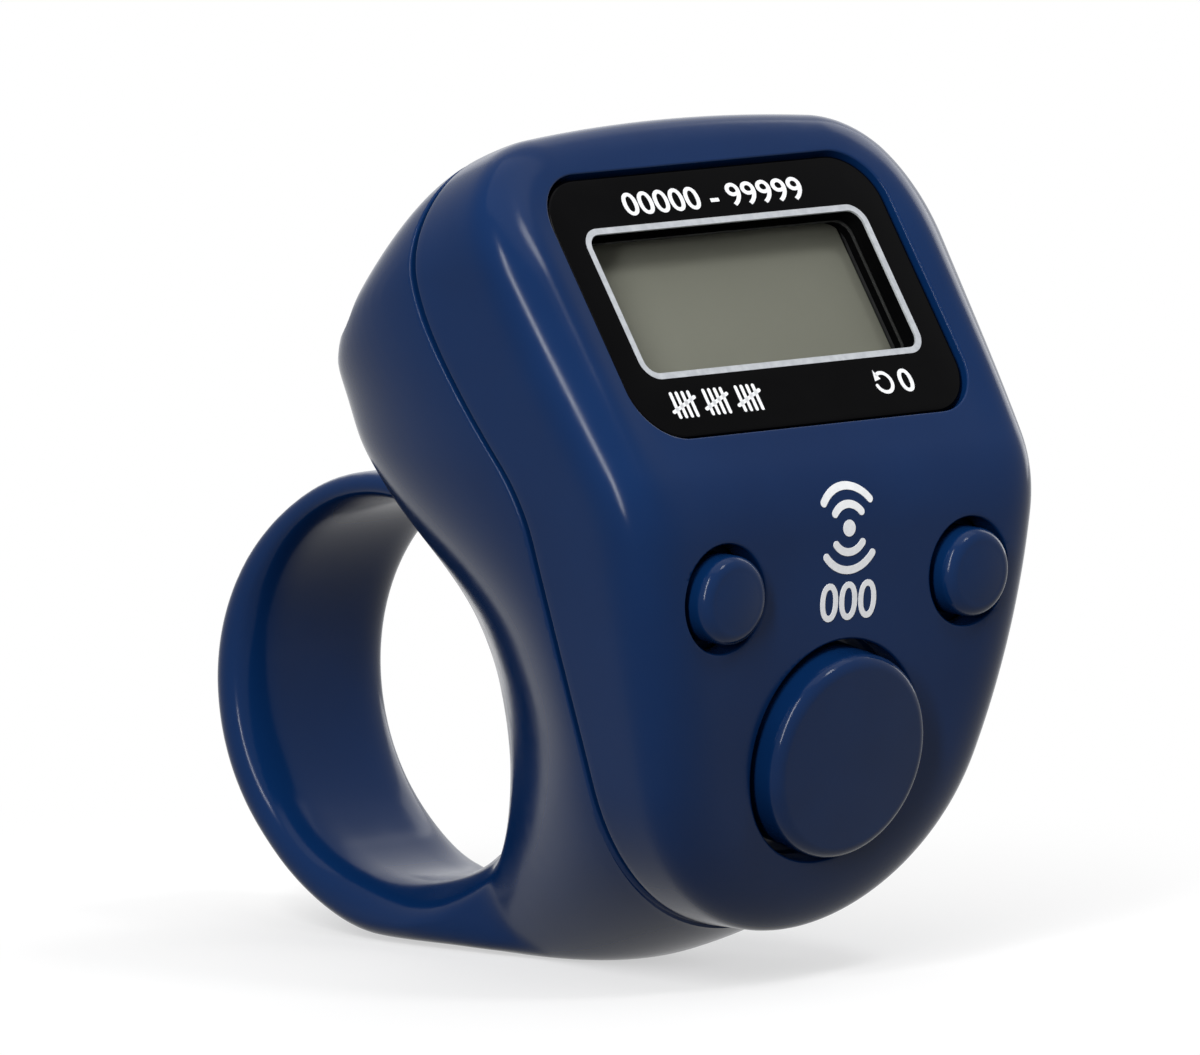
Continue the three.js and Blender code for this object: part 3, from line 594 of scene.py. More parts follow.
def key_hole(key):
    """A hole whose mouth follows the curved face with a rounded lip."""
    segments = 160
    angles = np.linspace(0, 2 * math.pi, segments, endpoint=False)
    base = key["radius"] + HOLE_GAP

    def loop(radius, height):
        u, v = radius * np.cos(angles), radius * np.sin(angles)
        sag = np.sqrt(KEY_FACE_RADIUS ** 2 - v ** 2) - KEY_FACE_RADIUS
        return np.stack([u, v, height + sag], -1)

    flat = np.stack([base * np.cos(angles), base * np.sin(angles), np.full(segments, -HOLE_DEPTH)], -1)
    loops = [flat, loop(base, -HOLE_LIP * 1.2)]
    for angle in quarter(8):
        loops.append(loop(base + HOLE_LIP * (1 - math.cos(angle)), -HOLE_LIP * (1 - math.sin(angle))))
    for height in HOLE_CUTTER_TOP:
        loops.append(loop(base + HOLE_LIP * 1.8, height))
    return move(loft("key_hole", loops), key_frame(key))


def front_shell():
    shell = skin("front_case", front_rings(), front_columns=110, back_columns=30)
    cut(shell, panel_recess())
    cut(shell, window_hole())
    for key in KEYS.values():
        cut(shell, key_hole(key))
    return shell


# Back shell with the finger ring

def back_end(extra, bottom_z):
    inset_x, inset_z = inset(BACK_ROUND + extra)
    sunk = np.maximum(0, (CHIN_CENTRE_Z - EDGE_Z) / CHIN_RADIUS)
    squared = np.maximum(0, 1 - sunk ** NECK_SQUARENESS) ** (1 / NECK_SQUARENESS)
    neck_x = (NECK_HALF_WIDTH - extra) * squared
    neck_z = np.where(sunk > 0, lerp(CHIN_CENTRE_Z, bottom_z, sunk), EDGE_Z)
    share = smoothstep(-EDGE_Z, -NECK_FROM_Z, -NECK_FULL_Z)
    return lerp(inset_x, neck_x, share), lerp(inset_z, neck_z, share)


def back_rings(extra, bottom_z, start_offset, end_y, steps):
    start_x, start_z = inset(extra)
    end_x, end_z = back_end(extra, bottom_z)
    rings = []
    if extra == 0:
        rings.append(ring((start_x, start_z), lambda x, z: parting_y(z) - 3 * OVERLAP))
    rings.append(ring((start_x, start_z), lambda x, z: parting_y(z) + start_offset))
    for angle in quarter(steps)[1:]:
        deep = math.sin(angle)
        neck = smoothstep(-EDGE_Z, *SIDE_TO_NECK)
        drawn = lerp(1 - math.cos(angle), deep ** NECK_TAPER, neck)
        dropped = 1 - (1 - deep) ** HEEL_TAPER
        heel = smoothstep(-EDGE_Z, -CHIN_CENTRE_Z, -CHIN_CENTRE_Z + HEEL_BLEND)
        fall = lerp(drawn, dropped, heel)
        half = (lerp(start_x, end_x, drawn), lerp(start_z, end_z, fall))
        rings.append(ring(half, lambda x, z, deep=deep: lerp(parting_y(z), end_y(z), deep)))
    return rings


def cavity_back_y(z):
    level = np.maximum(z, BORE_Z)
    reach = np.maximum((BORE_RADIUS + BACK_WALL) ** 2 - (level - BORE_Z) ** 2, 0)
    bore_front = np.where(reach > 0, BORE_Y - np.sqrt(reach), 1e6)
    return np.minimum(back_y(level) - BACK_WALL, bore_front)


def band_outer_radius(turn):
    """Distance of the ring's outer face from the bore's axis, flat where the heel rests."""
    upper = lerp(RING_WALL_REAR, RING_WALL_TOP, smoothstep(turn, *RING_TOP_TURNS))
    thickness = lerp(upper, RING_WALL_HEEL, smoothstep(-turn, *RING_HEEL_TURNS))
    rest_reach = BORE_Z - REST_Z
    if turn < REST_END_TURN:
        return BORE_RADIUS + thickness
    if turn < -90:
        return rest_reach / abs(math.sin(math.radians(turn)))
    return lerp(BORE_RADIUS + thickness, rest_reach, smoothstep(-turn, *REST_TURNS))


def band_section(turn):
    outer = band_outer_radius(turn)
    half_width = lerp(RING_HALF_WIDTH, NECK_HALF_WIDTH, smoothstep(abs(turn), *RING_NECK_TURNS))
    rim = min(RING_RIM, (outer - BORE_RADIUS) / 2)
    inner_side = [
        (half_width - INNER_RIM + INNER_RIM * math.sin(a), BORE_RADIUS + rim * (1 - math.cos(a)))
        for a in quarter(12)
    ]
    outer_side = [
        (half_width - rim + rim * math.cos(a), outer - rim * (1 - math.sin(a)))
        for a in quarter(8)
    ]
    half = inner_side + outer_side
    section = half + [(-x, radius) for x, radius in reversed(half)]
    angle = math.radians(turn)
    return [
        (x, BORE_Y + radius * math.cos(angle), BORE_Z + radius * math.sin(angle))
        for x, radius in section
    ]


def ring_band():
    turns = np.linspace(RING_END_ANGLE, -RING_END_ANGLE, 181)
    return loft("ring_band", [band_section(float(turn)) for turn in turns])


def bore():
    """Opens the finger bore where the neck fills it, and stays clear of the ring's own inside."""
    angles = np.linspace(0, 2 * math.pi, 360, endpoint=False)
    degrees = np.degrees(angles)
    radius = BORE_RADIUS - BORE_CLEAR * (1 - plateau(degrees, *BORE_NECK_ANGLES))
    y, z = BORE_Y + radius * np.cos(angles), BORE_Z + radius * np.sin(angles)
    return loft("bore", [
        np.stack([np.full(len(angles), x), y, z], -1) for x in (-BORE_CUTTER_HALF, BORE_CUTTER_HALF)
    ])


def front_cutter():
    """Everything ahead of the back shell's front edge, with a rounded outer edge."""
    def depth(offset):
        return lambda x, z: parting_y(z) + offset

    rings = [ring(inset(-2), lambda x, z: np.full_like(z, FRONT_CUTTER_Y))]
    rings.append(ring(inset(-2), depth(GAP / 2 + PARTING_EDGE)))
    rings.append(ring(inset(-0.02), depth(GAP / 2 + PARTING_EDGE)))
    for angle in quarter(5)[1:]:
        rings.append(ring(
            inset(PARTING_EDGE * (1 - math.cos(angle))),
            depth(GAP / 2 + PARTING_EDGE * (1 - math.sin(angle))),
        ))
    return skin("front_cutter", rings)


def back_cavity():
    return skin("back_cavity", back_rings(WALL, CAVITY_BOTTOM_Z, -OVERLAP, cavity_back_y, 8))


def tongue_rebate():
    drawn = inset(WALL - TONGUE_WALL - GAP)
    return skin("tongue_rebate", [
        ring(drawn, lambda x, z: parting_y(z) - OVERLAP),
        ring(drawn, lambda x, z: parting_y(z) + TONGUE_LENGTH + GAP),
    ])


def screw_sink(side):
    sink = turned("screw_sink", [
        (0, -SCREW_CUTTER_BACK), (SCREW_SINK_RADIUS, -SCREW_CUTTER_BACK),
        (SCREW_SINK_RADIUS, -SCREW_SEAT_Y), (SCREW_HOLE_RADIUS, -SCREW_SEAT_Y),
        (SCREW_HOLE_RADIUS, 0), (0, 0),
    ], 64)
    return move(sink, face_frame(side * SCREW_X, 0, SCREW_Z, 0))


def screw_tube(side):
    """The boss that carries a case screw, from its seat in the back forward into the cavity."""
    front, back = BOSS_SPAN
    tube = turned("screw_tube", [
        (0, -back), (BOSS_RADIUS, -back), (BOSS_RADIUS, -front), (0, -front),
    ], 48)
    return move(tube, face_frame(side * SCREW_X, 0, SCREW_Z, 0))


def round_bore(points):
    """Angle in degrees and distance of points round the axis of the finger bore."""
    y, z = points[:, 1] - BORE_Y, points[:, 2] - BORE_Z
    return np.degrees(np.arctan2(z, y)) % 360, np.hypot(y, z)


def zone_weight(points, zone):
    """How far points lie inside a smoothed zone, from 0 to 1, as a column."""
    angles, reaches, widths = zone
    turn, reach = round_bore(points)
    near = 1 - smoothstep(reach, *reaches)
    return (plateau(turn, *angles) * near * smoothstep(np.abs(points[:, 0]), *widths))[:, None]


def smooth_body(shell):
    """Clears the remesh's steps and melts the neck, the ring and the underside together."""
    points = relax(points_of(shell.data), shell.data, STEP_ROUNDS)
    points = relax(points, shell.data, MELT_ROUNDS, zone_weight(points, MELT_ZONE))
    store(shell.data, points)


def smooth_heel(shell):
    """Rounds the edge between the bore and the heel, and flattens the underside to its resting face."""
    points = relax(points_of(shell.data), shell.data, EDGE_ROUNDS)
    points = relax(points, shell.data, HEEL_ROUNDS, zone_weight(points, HEEL_ZONE))
    push = HEEL_OPENING * zone_weight(points, OPENING_ZONE)[:, 0] / round_bore(points)[1]
    points[:, 1] += push * (points[:, 1] - BORE_Y)
    points[:, 2] += push * (points[:, 2] - BORE_Z)
    above = (points[:, 2] - REST_Z) / REST_SOFTNESS
    points[:, 2] = REST_Z + REST_SOFTNESS * np.logaddexp(0, above)
    store(shell.data, points)


def back_shell():
    shell = skin("back_case", back_rings(0, NECK_BOTTOM_Z, 0, back_y, 48), back_columns=24)
    join(shell, ring_band())
    remesh(shell, VOXEL)
    smooth_body(shell)
    cut(shell, bore())
    smooth_heel(shell)
    cut(shell, front_cutter())
    cut(shell, back_cavity())
    for side in (-1, 1):
        join(shell, screw_tube(side))
        cut(shell, screw_sink(side))
    cut(shell, tongue_rebate())
    return shell


# Button caps

def button_cap(name, key):
    radius, rise = key["radius"] - CAP_DRAW, key["rise"]
    crown = radius - KEY_RIM
    profile = [(0, rise + KEY_DOME)]
    for share in np.linspace(0.1, 1, 10):
        profile.append((crown * share, rise + KEY_DOME * (1 - share ** 2)))
    profile += [
        (crown + KEY_RIM * math.sin(a), rise - KEY_RIM + KEY_RIM * math.cos(a)) for a in quarter(14)[1:]
    ]
    profile += [
        (radius, -FLANGE_FRONT), (key["radius"] + key["flange"], -FLANGE_FRONT),
        (key["radius"] + key["flange"], -FLANGE_BACK), (radius - KEY_WALL, -FLANGE_BACK),
        (radius - KEY_WALL, -KEY_FACE_BACK), (key["stem"], -KEY_FACE_BACK),
        (key["stem"], -STEM_BACK), (0, -STEM_BACK),
    ]
    return move(turned(name, profile, 160), key_frame(key))


# Display panel: a black printed frame, its clear window, and what is printed on it

def panel_frame():
    loops = [grown_rect(PANEL_HALF, PANEL_CORNER, 0, -PANEL_SINK - PANEL_THICKNESS)]
    for angle in quarter(6):
        loops.append(grown_rect(
            PANEL_HALF, PANEL_CORNER, -PANEL_EDGE * (1 - math.cos(angle)),
            -PANEL_SINK - PANEL_EDGE * (1 - math.sin(angle)),
        ))
    panel = loft("panel_black", loops)
    cut(panel, loft("opening", [
        rounded_rect(WINDOW_HALF, WINDOW_CORNER, height, centre_v=WINDOW_V)
        for height in WINDOW_CUTTER_SPAN
    ]))
    return move(panel, SCREEN_FRAME)


def panel_window():
    half = (WINDOW_HALF[0] - WINDOW_PLAY, WINDOW_HALF[1] - WINDOW_PLAY)
    loops = [
        rounded_rect(half, WINDOW_CORNER, -PANEL_SINK - depth, centre_v=WINDOW_V)
        for depth in WINDOW_FILM
    ]
    return move(loft("panel_window", loops), SCREEN_FRAME)


def panel_outline():
    outer = loft("panel_outline", [
        grown_rect(WINDOW_HALF, WINDOW_CORNER, OUTLINE_WIDTH, -PANEL_SINK + height, WINDOW_V)
        for height in (-OUTLINE_BACK, INK)
    ])
    inner = loft("outline_inner", [
        grown_rect(WINDOW_HALF, WINDOW_CORNER, -OUTLINE_INNER, -PANEL_SINK + height, WINDOW_V)
        for height in (-OVERLAP, OVERLAP)
    ])
    return move(cut(outer, inner), SCREEN_FRAME)


# Printed marks: plain numerals and common signs

def text_mesh(name, text, width, height):
    """Flat numerals, centred, with a thickness that reaches just out of the surface."""
    curve = bpy.data.curves.new(name, "FONT")
    curve.body = text
    curve.resolution_u = 6
    curve.extrude = INK
    curve.offset = PRINT_WEIGHT
    writing = add_object(name, curve)
    mesh = evaluated_mesh(writing)
    bpy.data.objects.remove(writing)
    mesh.name = name
    points = points_of(mesh)
    low, high = points.min(axis=0), points.max(axis=0)
    middle = (low + high) / 2
    spread = np.array([width / (high[0] - low[0]), height / (high[1] - low[1]), 1])
    store(mesh, (points - middle) * spread)
    work = bmesh.new()
    work.from_mesh(mesh)
    bmesh.ops.remove_doubles(work, verts=work.verts, dist=PRINT_MERGE)
    bmesh.ops.recalc_face_normals(work, faces=work.faces)
    work.to_mesh(mesh)
    work.free()
    return mesh


def stroke_loops(path, half_width):
    """Sections of a flat pen stroke with round ends along a list of (u, v) points."""
    path = np.array(path, float)
    along = np.gradient(path, axis=0)
    along /= np.linalg.norm(along, axis=1)[:, None]
    rows = []
    for angle in np.linspace(PEN_TIP_ANGLE, math.pi / 2, 7):
        rows.append((path[0] - along[0] * half_width * math.cos(angle), along[0], math.sin(angle)))
    rows += [(path[index], along[index], 1.0) for index in range(1, len(path) - 1)]
    for angle in np.linspace(math.pi / 2, PEN_TIP_ANGLE, 7):
        rows.append((path[-1] + along[-1] * half_width * math.cos(angle), along[-1], math.sin(angle)))
    loops = []
    for (u, v), (du, dv), share in rows:
        reach = half_width * share
        loops.append([
            (u - dv * reach * side, v + du * reach * side, height)
            for side, height in ((1, INK), (-1, INK), (-1, -INK), (1, -INK))
        ])
    return loops


def arc_path(centre, radius, start, end, steps=24):
    return [
        (centre[0] + radius * math.cos(math.radians(a)), centre[1] + radius * math.sin(math.radians(a)))
        for a in np.linspace(start, end, steps + 1)
    ]


def joined(name, things):
    """One object from several, keeping their closed meshes side by side."""
    work = bmesh.new()
    for thing in things:
        work.from_mesh(thing.data)
        bpy.data.objects.remove(thing)
    mesh = bpy.data.meshes.new(name)
    work.to_mesh(mesh)
    work.free()
    return add_object(name, mesh)


def stroke(path, half_width):
    return loft("stroke", stroke_loops(path, half_width))


def numerals(text, width, height):
    return add_object("numerals", text_mesh("numerals", text, width, height))


def tally_strokes(groups):
    things = []
    for group in range(groups):
        left = (group - (groups - 1) / 2) * TALLY_STEP - TALLY_GAP * 1.5
        for number in range(4):
            u = left + TALLY_GAP * number
            things.append(stroke([(u, -MARK_HALF), (u, 0), (u, MARK_HALF)], PEN))
        right = left + TALLY_GAP * 3
        things.append(stroke([
            (left - TALLY_OVERHANG, -MARK_HALF * 0.55), (0.5 * (left + right), 0),
            (right + TALLY_OVERHANG, MARK_HALF * 0.55),
        ], PEN))
    return things


def turn_arrow():
    """A round arrow, the common sign for starting again, with a nought beside it."""
    tail, end, head_turn = -165, 120, 48
    arc = stroke(arc_path(ARROW_CENTRE, ARROW_RADIUS, tail, end), PEN)
    tip, outer, inner = (
        arc_path(ARROW_CENTRE, radius, turn, turn, 0)[0]
        for radius, turn in (
            (ARROW_RADIUS * 1.02, end + head_turn), (ARROW_RADIUS + ARROW_HEAD, end),
            (ARROW_RADIUS - ARROW_HEAD, end),
        )
    )
    head = loft("head", [[(u, v, height) for u, v in (tip, outer, inner)] for height in (-INK, INK)])
    nought = numerals("0", NOUGHT_WIDTH, MARK_HALF * 2)
    return [arc, head, move(nought, Matrix.Translation((NOUGHT_U, 0, 0)))]


def on_panel(thing, u, v):
    return move(thing, SCREEN_FRAME @ Matrix.Translation((u, v, -PANEL_SINK)))


def on_face(thing, z):
    """Lays a flat mark onto the curved face at height Z."""
    points = points_of(thing.data)
    heights = z + points[:, 1]
    step = 0.01
    slope = (face_y(heights + step) - face_y(heights - step)) / (2 * step)
    length = np.sqrt(1 + slope ** 2)
    lift = points[:, 2] + INK * 0.5
    store(thing.data, np.stack([
        points[:, 0], face_y(heights) - lift / length, heights + lift * slope / length,
    ], -1))
    return thing


def panel_marks():
    return joined("panel_marks", [
        on_panel(numerals("00000 - 99999", RANGE_WIDTH, MARK_HALF * 2), *RANGE_PLACE),
        on_panel(joined("tallies", tally_strokes(3)), *TALLY_PLACE),
        on_panel(joined("reset", turn_arrow()), *RESET_PLACE),
    ])


def face_marks():
    dot = turned("dot", [(0, INK), (WAVE_DOT, INK), (WAVE_DOT, -INK), (0, -INK)], 40)
    waves = [dot]
    for radius in WAVE_RADII:
        for middle in (90, -90):
            wave = arc_path((0, 0), radius, middle - WAVE_SPREAD, middle + WAVE_SPREAD)
            waves.append(stroke(wave, WAVE_PEN))
    return joined("face_marks", [
        on_face(joined("waves", waves), WAVE_Z),
        on_face(numerals("000", *NUMBER_SIZE), NUMBER_Z),
    ])


# Materials

def linear(red, green, blue):
    """Colour from 0 to 255 screen values."""
    def one(value):
        value /= 255
        return value / 12.92 if value <= 0.04045 else ((value + 0.055) / 1.055) ** 2.4
    return (one(red), one(green), one(blue), 1.0)


class Look:
    """A node material around one Principled shader, with its detail in object coordinates."""

    COLOR_SPAN = (0.35, 0.65)
    ROUGHNESS_SPAN = (0.3, 0.7)

    def __init__(self, name, color, roughness, metallic=0.0, specular=0.5):
        self.material = bpy.data.materials.new(name)
        self.material.use_nodes = True
        self.nodes = self.material.node_tree.nodes
        self.links = self.material.node_tree.links
        self.shader = self.nodes["Principled BSDF"]
        self.shader.inputs["Base Color"].default_value = color
        self.shader.inputs["Roughness"].default_value = roughness
        self.shader.inputs["Metallic"].default_value = metallic
        self.shader.inputs["Specular IOR Level"].default_value = specular
        self.place = self.nodes.new("ShaderNodeTexCoord").outputs["Object"]

    def noise(self, scale, detail=3.0):
        node = self.nodes.new("ShaderNodeTexNoise")
        node.inputs["Scale"].default_value = scale
        node.inputs["Detail"].default_value = detail
        self.links.new(self.place, node.inputs["Vector"])
        return node.outputs["Fac"]

    def vary_color(self, source, dark, light):
        ramp = self.nodes.new("ShaderNodeValToRGB")
        for stop, position, color in zip(ramp.color_ramp.elements, self.COLOR_SPAN, (dark, light)):
            stop.position = position
            stop.color = color
        self.links.new(source, ramp.inputs["Fac"])
        self.links.new(ramp.outputs["Color"], self.shader.inputs["Base Color"])

    def vary_roughness(self, source, low, high):
        spread = self.nodes.new("ShaderNodeMapRange")
        spread.inputs["From Min"].default_value = self.ROUGHNESS_SPAN[0]
        spread.inputs["From Max"].default_value = self.ROUGHNESS_SPAN[1]
        spread.inputs["To Min"].default_value = low
        spread.inputs["To Max"].default_value = high
        self.links.new(source, spread.inputs["Value"])
        self.links.new(spread.outputs["Result"], self.shader.inputs["Roughness"])

    def bump(self, source, depth, strength=0.5):
        node = self.nodes.new("ShaderNodeBump")
        node.inputs["Strength"].default_value = strength
        node.inputs["Distance"].default_value = depth
        self.links.new(source, node.inputs["Height"])
        self.links.new(node.outputs["Normal"], self.shader.inputs["Normal"])


def navy_plastic():
    look = Look("navy_plastic", linear(8, 39, 82), 0.17, specular=0.1)
    look.vary_color(look.noise(90), linear(7, 37, 79), linear(9, 41, 85))
    look.vary_roughness(look.noise(900), 0.15, 0.19)
    look.bump(look.noise(1600, 1), 0.000003, 0.06)
    return look.material


def button_plastic():
    look = Look("button_plastic", linear(7, 37, 78), 0.15, specular=0.12)
    look.vary_color(look.noise(160), linear(6, 35, 75), linear(8, 39, 81))
    look.vary_roughness(look.noise(1100), 0.13, 0.17)
    look.bump(look.noise(1600, 1), 0.000003, 0.06)
    return look.material


def black_print():
    look = Look("black_print", linear(6, 6, 7), 0.14, specular=0.03)
    look.vary_roughness(look.noise(500), 0.11, 0.17)
    look.vary_color(look.noise(200), linear(2, 2, 3), linear(4, 4, 5))
    look.bump(look.noise(800, 1), 0.000006, 0.05)
    return look.material


def silver_ink():
    look = Look("silver_ink", linear(182, 186, 191), 0.45)
    look.vary_color(look.noise(2500), linear(174, 178, 184), linear(190, 194, 199))
    look.vary_roughness(look.noise(3000), 0.3, 0.42)
    return look.material


def white_ink():
    look = Look("white_ink", linear(246, 248, 250), 0.4)
    look.vary_color(look.noise(3500), linear(242, 244, 247), linear(250, 251, 253))
    look.vary_roughness(look.noise(3000), 0.36, 0.48)
    return look.material


def display_film():
    look = Look("display_film", linear(122, 122, 113), 0.5, specular=0.1)
    look.vary_color(look.noise(60), linear(119, 119, 110), linear(125, 125, 116))
    look.vary_roughness(look.noise(2000), 0.45, 0.55)
    look.bump(look.noise(9000, 2), 0.000004, 0.1)
    return look.material


# Painted shade: a matte black that stands in for the shadow in the hollow of the display opening
def window_shade_black():
    look = Look("window_shade_black", linear(8, 8, 9), 0.9, specular=0.0)
    look.vary_color(look.noise(300), linear(7, 7, 8), linear(10, 10, 11))
    return look.material


def clear_window():
    """Clear plastic that lets the light through, and mirrors a little where it is seen at a slant."""
    material = bpy.data.materials.new("clear_window")
    material.use_nodes = True
    nodes, links = material.node_tree.nodes, material.node_tree.links
    nodes.remove(nodes["Principled BSDF"])
    clear = nodes.new("ShaderNodeBsdfTransparent")
    clear.inputs["Color"].default_value = (0.97, 0.975, 0.965, 1)
    gloss = nodes.new("ShaderNodeBsdfGlossy")
    gloss.inputs["Roughness"].default_value = 0.08
    slant = nodes.new("ShaderNodeLayerWeight")
    slant.inputs["Blend"].default_value = 0.15
    share = nodes.new("ShaderNodeMapRange")
    share.inputs["From Min"].default_value = 0.2
    share.inputs["From Max"].default_value = 0.6
    share.inputs["To Max"].default_value = 0.25
    links.new(slant.outputs["Facing"], share.inputs["Value"])
    mix = nodes.new("ShaderNodeMixShader")
    links.new(share.outputs["Result"], mix.inputs["Fac"])
    links.new(clear.outputs["BSDF"], mix.inputs[1])
    links.new(gloss.outputs["BSDF"], mix.inputs[2])
    links.new(mix.outputs["Shader"], nodes["Material Output"].inputs["Surface"])
    return material


def plain_look(name, color, roughness, metallic=0.0, grain=900, depth=0.00001):
    """Finish of an inner piece: a slightly uneven colour, roughness and surface."""
    look = Look(name, linear(*color), roughness, metallic)
    darker = linear(*(0.93 * value for value in color))
    lighter = linear(*(min(255, 1.06 * value) for value in color))
    look.vary_color(look.noise(grain), darker, lighter)
    look.vary_roughness(look.noise(grain * 2), roughness * 0.85, roughness * 1.15)
    look.bump(look.noise(grain * 4, 2), depth, 0.2)
    return look.material


# Putting pieces into the part's frame

def finish_piece(thing, body, material, sharp_angle=35, replaces=()):
    """Puts a piece into the part's frame, in metres, with its finish and its body."""
    store(thing.data, (points_of(thing.data) + FRAME_OFFSET) * MILLIMETRE)
    thing.data.materials.clear()
    thing.data.materials.append(material)
    thing.data.shade_smooth()
    thing.data.set_sharp_from_angle(angle=math.radians(sharp_angle))
    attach(thing, body)
    if replaces:
        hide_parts(*replaces)
    return thing


def paint_shade_on_window_walls(thing, material):
    """Paints the walls of the display opening matte black, in a material slot of their own, as painted
    shade for the hollow behind the clear window.
    """
    mesh = thing.data
    mesh.materials.append(material)
    centres = np.empty(len(mesh.polygons) * 3)
    mesh.polygons.foreach_get("center", centres)
    centres = centres.reshape(-1, 3) / MILLIMETRE - FRAME_OFFSET
    matrix = np.array(SCREEN_FRAME.inverted())
    u, v, height = (centres @ matrix[:3, :3].T + matrix[:3, 3]).T
    reach = WINDOW_UNDERCUT + 0.05
    inside = (np.abs(u) < WINDOW_HALF[0] + reach) & (np.abs(v - WINDOW_V) < WINDOW_HALF[1] + reach)
    walls = inside & (height < -PANEL_SINK - 0.01)
    mesh.polygons.foreach_set("material_index", walls.astype(np.int32))


navy = navy_plastic()
button = button_plastic()
white = white_ink()
# Painted shade, put on the walls of the display opening in the front case and the panel
painted_window_shade = window_shade_black()
case_front = finish_piece(front_shell(), "case", navy, replaces=["front_shell"])
paint_shade_on_window_walls(case_front, painted_window_shade)
finish_piece(back_shell(), "case", navy, replaces=["back_shell"])
for key_name, key in KEYS.items():
    finish_piece(
        button_cap(f"{key_name}_cap", key), f"{key_name}_key", button,
        replaces=[f"{key_name}_button"],
    )
panel = finish_piece(panel_frame(), "case", black_print(), replaces=["display_panel"])
paint_shade_on_window_walls(panel, painted_window_shade)
finish_piece(panel_window(), "case", clear_window())
finish_piece(panel_outline(), "case", silver_ink())
finish_piece(panel_marks(), "case", white, sharp_angle=20)
finish_piece(face_marks(), "case", white, sharp_angle=20)

# CAD nodes that keep their shape and get a finish

NODE_LOOKS = {
    "panel_tape": plain_look("adhesive_tape", (30, 30, 31), 0.8),
    "lcd_front_polarizer": display_film(),
    "lcd_front_glass": plain_look("display_glass", (140, 144, 132), 0.15),
    "lcd_rear_glass": plain_look("rear_glass", (135, 140, 128), 0.15),
    "lcd_reflector": plain_look("reflector_foil", (170, 172, 166), 0.3, 0.6),
    "lcd_frame": plain_look("frame_plastic", (38, 38, 40), 0.6),
    "lcd_contact_strip": plain_look("zebra_rubber", (60, 60, 66), 0.8),
    "main_board": plain_look("board_green", (31, 90, 54), 0.45, grain=600),
    "key_board": plain_look("key_board_green", (30, 86, 52), 0.45, grain=600),
    "chip_blob": plain_look("black_resin", (14, 14, 15), 0.35),
    "battery_cell": plain_look("cell_steel", (184, 186, 188), 0.25, 1.0, grain=1500),
    "battery_minus_contact": plain_look("spring_steel", (190, 188, 180), 0.3, 1.0),
    "battery_clip": plain_look("clip_steel", (194, 192, 182), 0.3, 1.0),
    "ribbon_cable": plain_look("cable_film", (185, 120, 58), 0.4),
    "sounder": plain_look("sounder_resin", (16, 16, 17), 0.4),
    "case_screw_left": plain_look("screw_steel", (178, 181, 184), 0.5, 0.7, grain=2500),
}
NODE_LOOKS["case_screw_right"] = NODE_LOOKS["case_screw_left"]
switch_plastic = plain_look("switch_plastic", (27, 27, 29), 0.5)
plunger_plastic = plain_look("plunger_plastic", (91, 42, 36), 0.5)
for key_name in KEYS:
    NODE_LOOKS[f"{key_name}_switch"] = switch_plastic
    NODE_LOOKS[f"{key_name}_plunger"] = plunger_plastic
for node_name, material in NODE_LOOKS.items():
    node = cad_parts[node_name]
    node.data.materials.clear()
    node.data.materials.append(material)

# Camera, lights, world and floor

CAMERA_AZIMUTH = math.radians(-44.4)
CAMERA_ELEVATION = math.radians(6.0)
CAMERA_DISTANCE = 950.0
IMAGE_WIDTH, IMAGE_HEIGHT = 1200, 1055
FOCAL_PIXELS = 19000.0
SENSOR_WIDTH = 36.0
LIGHT_TARGET = Vector((0, 0, 0.02))
FLOOR_HALF = 8.0
FLOOR_FADE = (0.01, 0.06)  # distances between which the floor turns to backdrop
FLOOR_GLOW = 0.55
FLOOR_TONE = 0.09
AMBIENT = 0.26
PANEL_PIXEL = (758.9, 292.65)  # where the middle of the display panel appears


def to_frame(point):
    return Vector(((np.array(point, float) + FRAME_OFFSET) * MILLIMETRE).tolist())


def make_camera():
    back = Vector((
        math.sin(CAMERA_AZIMUTH) * math.cos(CAMERA_ELEVATION),
        -math.cos(CAMERA_AZIMUTH) * math.cos(CAMERA_ELEVATION),
        math.sin(CAMERA_ELEVATION),
    ))
    right = Vector((0, 0, 1)).cross(back).normalized()
    up = back.cross(right)
    scale = CAMERA_DISTANCE / FOCAL_PIXELS
    aim = (right * (IMAGE_WIDTH / 2 - PANEL_PIXEL[0]) - up * (IMAGE_HEIGHT / 2 - PANEL_PIXEL[1])) * scale
    data = bpy.data.cameras.new("camera")
    data.sensor_width = SENSOR_WIDTH
    data.lens = FOCAL_PIXELS * SENSOR_WIDTH / IMAGE_WIDTH
    data.clip_start, data.clip_end = 0.01, 50
    camera = add_object("camera", data)
    camera.location = to_frame(back * CAMERA_DISTANCE)
    direction = to_frame(aim) - camera.location
    camera.rotation_euler = direction.to_track_quat("-Z", "Y").to_euler()
    bpy.context.scene.camera = camera


def area_light(name, place, size, power):
    data = bpy.data.lights.new(name, "AREA")
    data.shape = "RECTANGLE"
    data.size, data.size_y = size
    data.energy = power
    lamp = add_object(name, data)
    lamp.location = place
    lamp.rotation_euler = (LIGHT_TARGET - lamp.location).to_track_quat("-Z", "Y").to_euler()


def seen_directly(nodes, links):
    """1 for rays that see the backdrop straight, mirrored or through glass, and 0 for the others."""
    path = nodes.new("ShaderNodeLightPath")
    seen = path.outputs["Is Camera Ray"]
    for kind in ("Is Glossy Ray", "Is Transmission Ray"):
        either = nodes.new("ShaderNodeMath")
        either.operation = "MAXIMUM"
        links.new(seen, either.inputs[0])
        links.new(path.outputs[kind], either.inputs[1])
        seen = either.outputs["Value"]
    return seen


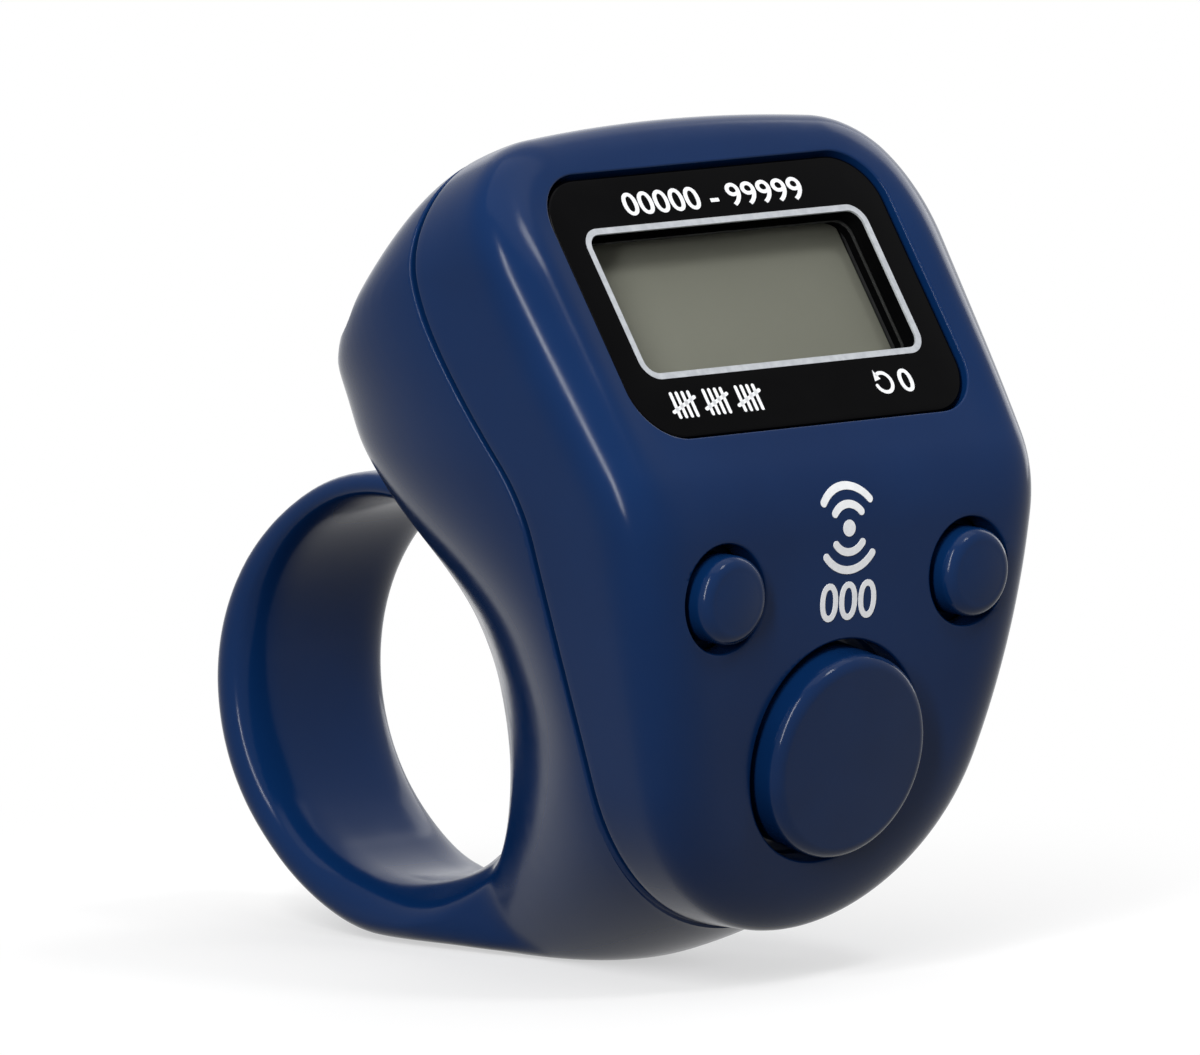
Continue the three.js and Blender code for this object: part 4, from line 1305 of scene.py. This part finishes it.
def make_world():
    world = bpy.data.worlds.new("studio")
    bpy.context.scene.world = world
    world.use_nodes = True
    nodes, links = world.node_tree.nodes, world.node_tree.links
    ambient = nodes["Background"]
    ambient.inputs["Color"].default_value = (1, 1, 1, 1)
    ambient.inputs["Strength"].default_value = AMBIENT
    pale = nodes.new("ShaderNodeBackground")
    pale.inputs["Color"].default_value = (1, 1, 1, 1)
    mix = nodes.new("ShaderNodeMixShader")
    links.new(seen_directly(nodes, links), mix.inputs["Fac"])
    links.new(ambient.outputs["Background"], mix.inputs[1])
    links.new(pale.outputs["Background"], mix.inputs[2])
    links.new(mix.outputs["Shader"], nodes["World Output"].inputs["Surface"])


def make_floor():
    """Pale floor that fades into the white backdrop away from the object."""
    mesh = bpy.data.meshes.new("floor")
    corners = [(x * FLOOR_HALF, y * FLOOR_HALF, 0) for x, y in ((-1, -1), (1, -1), (1, 1), (-1, 1))]
    mesh.from_pydata(corners, [], [(0, 1, 2, 3)])
    floor = add_object("floor", mesh)
    material = bpy.data.materials.new("floor")
    material.use_nodes = True
    nodes, links = material.node_tree.nodes, material.node_tree.links
    shader = nodes["Principled BSDF"]
    shader.inputs["Roughness"].default_value = 0.9
    shader.inputs["Specular IOR Level"].default_value = 0.1
    backdrop_ray = seen_directly(nodes, links)
    tone = nodes.new("ShaderNodeMix")
    tone.data_type = "RGBA"
    tone.inputs["A"].default_value = (FLOOR_TONE, FLOOR_TONE, FLOOR_TONE, 1)
    tone.inputs["B"].default_value = (1, 1, 1, 1)
    links.new(backdrop_ray, tone.inputs["Factor"])
    links.new(tone.outputs["Result"], shader.inputs["Base Color"])
    white_light = nodes.new("ShaderNodeEmission")
    place = nodes.new("ShaderNodeTexCoord")
    distance = nodes.new("ShaderNodeVectorMath")
    distance.operation = "LENGTH"
    links.new(place.outputs["Object"], distance.inputs[0])
    fade = nodes.new("ShaderNodeMapRange")
    fade.interpolation_type = "SMOOTHSTEP"
    fade.inputs["From Min"].default_value = FLOOR_FADE[0]
    fade.inputs["From Max"].default_value = FLOOR_FADE[1]
    fade.inputs["To Min"].default_value = FLOOR_GLOW
    links.new(distance.outputs["Value"], fade.inputs["Value"])
    seen = nodes.new("ShaderNodeMath")
    seen.operation = "MULTIPLY"
    links.new(fade.outputs["Result"], seen.inputs[0])
    links.new(backdrop_ray, seen.inputs[1])
    mix = nodes.new("ShaderNodeMixShader")
    links.new(seen.outputs["Value"], mix.inputs["Fac"])
    links.new(shader.outputs["BSDF"], mix.inputs[1])
    links.new(white_light.outputs["Emission"], mix.inputs[2])
    links.new(mix.outputs["Shader"], nodes["Material Output"].inputs["Surface"])
    mesh.materials.append(material)


make_camera()
make_world()
make_floor()
area_light("key_softbox", (-0.64, -0.34, 0.38), (0.08, 0.7), 6.2)
area_light("upper_box", (0.1, -0.38, 0.66), (0.12, 0.14), 1.1)
area_light("top_softbox", (0.05, -0.1, 0.75), (0.7, 0.7), 1.6)
area_light("right_softbox", (0.6, 0.1, 0.25), (0.25, 0.5), 0.9)
area_light("back_softbox", (0.5, 0.48, 0.42), (0.6, 0.6), 0.6)

bpy.context.scene.view_settings.view_transform = "Standard"
